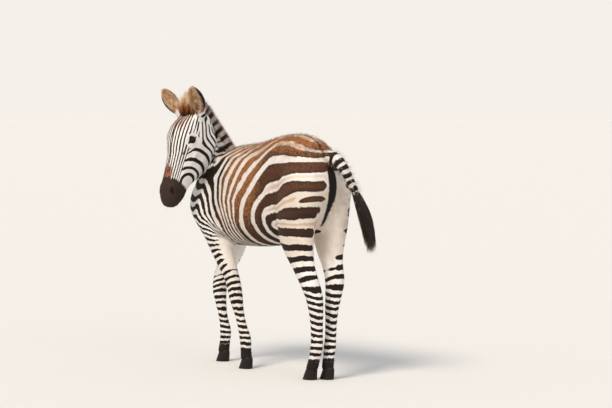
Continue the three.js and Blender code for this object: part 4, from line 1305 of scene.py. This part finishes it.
# ---- The tail's hair -----------------------------------------------------------------------------
# Long black hair grows from the lower part of the tail and hangs below its end. It hangs in locks that
# end at many heights, with thin tips.
TUFT_LINE = [  # the middle of the hanging hair
    (0.128, 0.052, 0.886),
    (0.138, 0.082, 0.818),
    (0.143, 0.106, 0.762),
    (0.143, 0.124, 0.710),
    (0.140, 0.138, 0.660),
    (0.136, 0.147, 0.615),
    (0.133, 0.150, 0.578),
]
TUFT_HAIRS, TUFT_WIDTH, TUFT_LOCKS = 3200, 0.0022, 60
tuft_fine = smooth_line(TUFT_LINE) + ORIGIN
lock = random.integers(0, TUFT_LOCKS, TUFT_HAIRS)
lock_turn = random.uniform(0, 2 * math.pi, TUFT_LOCKS)
lock_begin = random.uniform(0.06, 0.50, TUFT_LOCKS)
lock_end = np.maximum(0.42 + 0.58 * random.beta(1.6, 1.3, TUFT_LOCKS), lock_begin + 0.3)
lock_reach = random.uniform(0.25, 1.0, TUFT_LOCKS)
lock_sway = random.normal(0, 0.007, (TUFT_LOCKS, 3)) * (1, 1, 0)
turn = lock_turn[lock] + random.normal(0, 0.35, TUFT_HAIRS)
begin = lock_begin[lock] + random.normal(0, 0.03, TUFT_HAIRS)
end = np.clip(lock_end[lock] + random.normal(0, 0.03, TUFT_HAIRS), 0, 1)
reach = lock_reach[lock] * random.uniform(0.8, 1.1, TUFT_HAIRS)
loose = random.normal(0, 0.0035, (TUFT_HAIRS, 3))
stations = []
for s in np.linspace(0, 1, 6):
    heading = mixed(turn, lock_turn[lock], s)
    out = np.stack([np.cos(heading), np.sin(heading), 0 * heading], axis=1)
    swell = 0.005 + 0.026 * reach * math.sin(math.pi * (0.14 + 0.74 * s))
    place = at_shares(tuft_fine, np.clip(mixed(begin, end, s), 0, 1))
    stations.append(place + out * swell[:, None] + lock_sway[lock] * s * s + loose * s)
lines = np.stack(stations, axis=1)
flat = np.stack([np.cos(turn), np.sin(turn), 0 * turn], axis=1)
# Tail hair: long, straight and black, a little browner at its ends.
tail_paint = long_hair_paint(
    "tail_hair", (0.0, "#140c09"), (0.55, "#22140e"), (0.85, "#3a2115"), (1.0, "#5a3a22")
)
add_hair("tail_hair", tail_paint, "tail_hair", lines, TUFT_WIDTH, flat, "tail_tuft")

# ---- The lashes and whiskers ---------------------------------------------------------------------
# These are single stiff hairs, black as the skin that they are rooted in. Lashes fringe the upper lids
# and curl up at their ends, and a few whiskers stand on the lips and the chin.
LASHES, LASH_WIDTH = 70, 0.0009
WHISKERS, WHISKER_WIDTH = 60, 0.0007
# Lash: black and nearly matt, a little browner at its tip.
lash_paint = long_hair_paint("lash", (0.0, "#0d0806"), (1.0, "#1c130f"))
for way, name in ((-1, "left"), (1, "right")):
    out, corner, over = eye_axes(way)
    turn = np.linspace(-0.80, 0.62, LASHES) + random.normal(0, 0.02, LASHES)
    lift = LID_TOP * (1 - np.square(turn / LID_HALF)) + 0.05
    spoke = out * (np.cos(turn) * np.cos(lift))[:, None] + corner * (np.sin(turn) * np.cos(lift))[:, None]
    spoke = unit(spoke + over * np.sin(lift)[:, None])
    root = EYES[name] + spoke * (EYE_RADIUS + 0.0005)
    head = unit(spoke * 0.55 + out * 0.6 - over * 0.10 + corner * (turn * 0.4)[:, None])
    height = random.uniform(0.011, 0.017, LASHES)
    lines = bunch(root, head, height, over * 0.30 - out * 0.05, 5)
    add_hair("lashes_" + name, lash_paint, "tail_hair", lines, LASH_WIDTH, over)

on_lips = belongs["head"] * muzzle * smooth_step(0.2, -0.5, normals @ brow_up)
rows, shares = scattered(on_lips, WHISKERS)
root = values_at(points, rows, shares)
normal = unit(values_at(normals, rows, shares))
head = unit(normal + face_line * 0.3 + random.normal(0, 0.2, (WHISKERS, 3)))
height = random.uniform(0.008, 0.020, WHISKERS)
lines = bunch(root - normal * 0.001, head, height, np.array([0, 0, -0.2]), 5)
add_hair("whiskers", lash_paint, "tail_hair", lines, WHISKER_WIDTH, normal, at=root)

# ---- The eyes ------------------------------------------------------------------------------------
# Dark wet balls, 42 mm across, sit behind the lids. The lids leave an almond of each open, so that no
# white shows round the iris, which is nearly as dark as the pupil.

# Eye: almost black and glossy, with one small highlight.
eye_paint, tree = new_material("eye")
inputs = {"Base Color": "#0a0605", "Roughness": 0.08, "Specular IOR Level": 0.22}
shade = add(tree, "ShaderNodeBsdfPrincipled", inputs)
add(tree, "ShaderNodeOutputMaterial", {"Surface": shade})
for side, centre in EYES.items():
    bm = bmesh.new()
    bmesh.ops.create_uvsphere(bm, u_segments=40, v_segments=28, radius=EYE_RADIUS)
    bmesh.ops.translate(bm, verts=bm.verts, vec=Vector(centre))
    mesh = bpy.data.meshes.new("eye_" + side)
    bm.to_mesh(mesh)
    bm.free()
    add_piece("eyeball_" + side, mesh, eye_paint, "eye", "eye_" + side)

# ---- The hooves ----------------------------------------------------------------------------------
# Small upright hooves of black horn lean forward to the toe. Their walls have faint rings, a cleft
# between the two bulbs of the heel, and a hollow sole, and go up inside the hair above them.
HOOF_WIDTH, HOOF_HEIGHT, HOOF_LEAN = 0.060, 0.046, 0.32
HOOF_TOP = 1.25  # the wall goes up inside the skin, to this share of the height that shows
HOOF_SIDES, HOOF_CUTS = 48, 16  # how finely the wall is divided round it and up it
GROWTH_RINGS, RING_DEPTH = 7, 0.008  # rings in the height that shows, and their depth as a share
CLEFT_DEPTH, CLEFT_WIDTH = 0.16, 0.22  # a share of the hoof's radius, and an angle in radians
SOLE_STEP = 0.10  # the width of the sole's two steps and its hollow, before the hoof has its size
WALL_EDGE = 0.0022  # the wall's lower edge is rounded over this
GRAIN = 1 / 420  # the width of the horn's grain, 2.4 mm, which runs up the wall
# Hoof horn: black and nearly dull, with a fine grain up the wall.
hoof_paint, tree = new_material("hoof_horn")
place = add(tree, "ShaderNodeTexCoord")
grain_place = add(tree, "ShaderNodeMapping", {"Vector": place.outputs["Object"], "Scale": (1.0, 1.0, 0.12)})
grain = add(tree, "ShaderNodeTexNoise", {"Vector": grain_place, "Scale": 1 / GRAIN, "Detail": 2.0})
tone = add(tree, MIX, {0: grain, 6: "#0b0806", 7: "#211914"}, **COLOUR)
bump = add(tree, "ShaderNodeBump", {"Height": grain, "Strength": 0.35, "Distance": 0.0006})
inputs = {"Base Color": tone, "Roughness": 0.55, "Specular IOR Level": 0.25, "Normal": bump}
shade = add(tree, "ShaderNodeBsdfPrincipled", inputs)
add(tree, "ShaderNodeOutputMaterial", {"Surface": shade})
for leg in FORE_LEGS + HIND_LEGS:
    low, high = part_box("hoof_" + leg)
    sole = Vector((low.x + HOOF_LENGTH / 2, (low.y + high.y) / 2, 0))
    bm = bmesh.new()
    bmesh.ops.create_cone(bm, cap_ends=True, segments=HOOF_SIDES, radius1=1.0, radius2=1.0, depth=1.0)
    bmesh.ops.translate(bm, verts=bm.verts, vec=(0, 0, 0.5))
    for ring in range(1, HOOF_CUTS):
        cut = bm.verts[:] + bm.edges[:] + bm.faces[:]
        bmesh.ops.bisect_plane(bm, geom=cut, plane_co=(0, 0, ring / HOOF_CUTS), plane_no=(0, 0, 1))
    bottom = [face for face in bm.faces if face.normal.z < -0.5]
    bmesh.ops.inset_region(bm, faces=bottom, thickness=SOLE_STEP)
    bmesh.ops.inset_region(bm, faces=bottom, thickness=SOLE_STEP)
    hollow = list({vert for face in bottom for vert in face.verts})
    bmesh.ops.translate(bm, verts=hollow, vec=(0, 0, SOLE_STEP))
    for vert in bm.verts:
        level = vert.co.z * HOOF_TOP
        turn = math.atan2(vert.co.y, vert.co.x)
        out = math.hypot(vert.co.x, vert.co.y)
        heel = max(math.cos(turn), 0) ** 2  # the back of the hoof, where its two bulbs meet
        cleft = CLEFT_DEPTH * math.exp(-((turn / CLEFT_WIDTH) ** 2)) * min(level * 2, 1)
        rings = RING_DEPTH * math.cos(2 * math.pi * level * GROWTH_RINGS)
        wide = out * (1 - 0.20 * level - 0.55 * max(level - 1, 0) + rings - cleft)
        x = math.cos(turn) * HOOF_LENGTH / 2 * wide * (1 - 0.10 * heel) + HOOF_LEAN * HOOF_HEIGHT * level
        y = math.sin(turn) * HOOF_WIDTH / 2 * wide * (1 - 0.10 * math.cos(turn))
        vert.co = sole + Vector((x, y, HOOF_HEIGHT * level))
    lower_edge = [edge for edge in bm.edges if all(vert.co.z < 1e-5 for vert in edge.verts)]
    lower_edge = [edge for edge in lower_edge if any(abs(face.normal.z) < 0.8 for face in edge.link_faces)]
    how = {"segments": 2, "profile": 0.5, "affect": "EDGES", "material": -1}
    bmesh.ops.bevel(bm, geom=lower_edge, offset=WALL_EDGE, **how)
    bmesh.ops.recalc_face_normals(bm, faces=bm.faces)
    mesh = bpy.data.meshes.new("hoof")
    bm.to_mesh(mesh)
    bm.free()
    add_piece("hoof_" + leg + "_horn", mesh, hoof_paint, "horn", "hoof_" + leg)
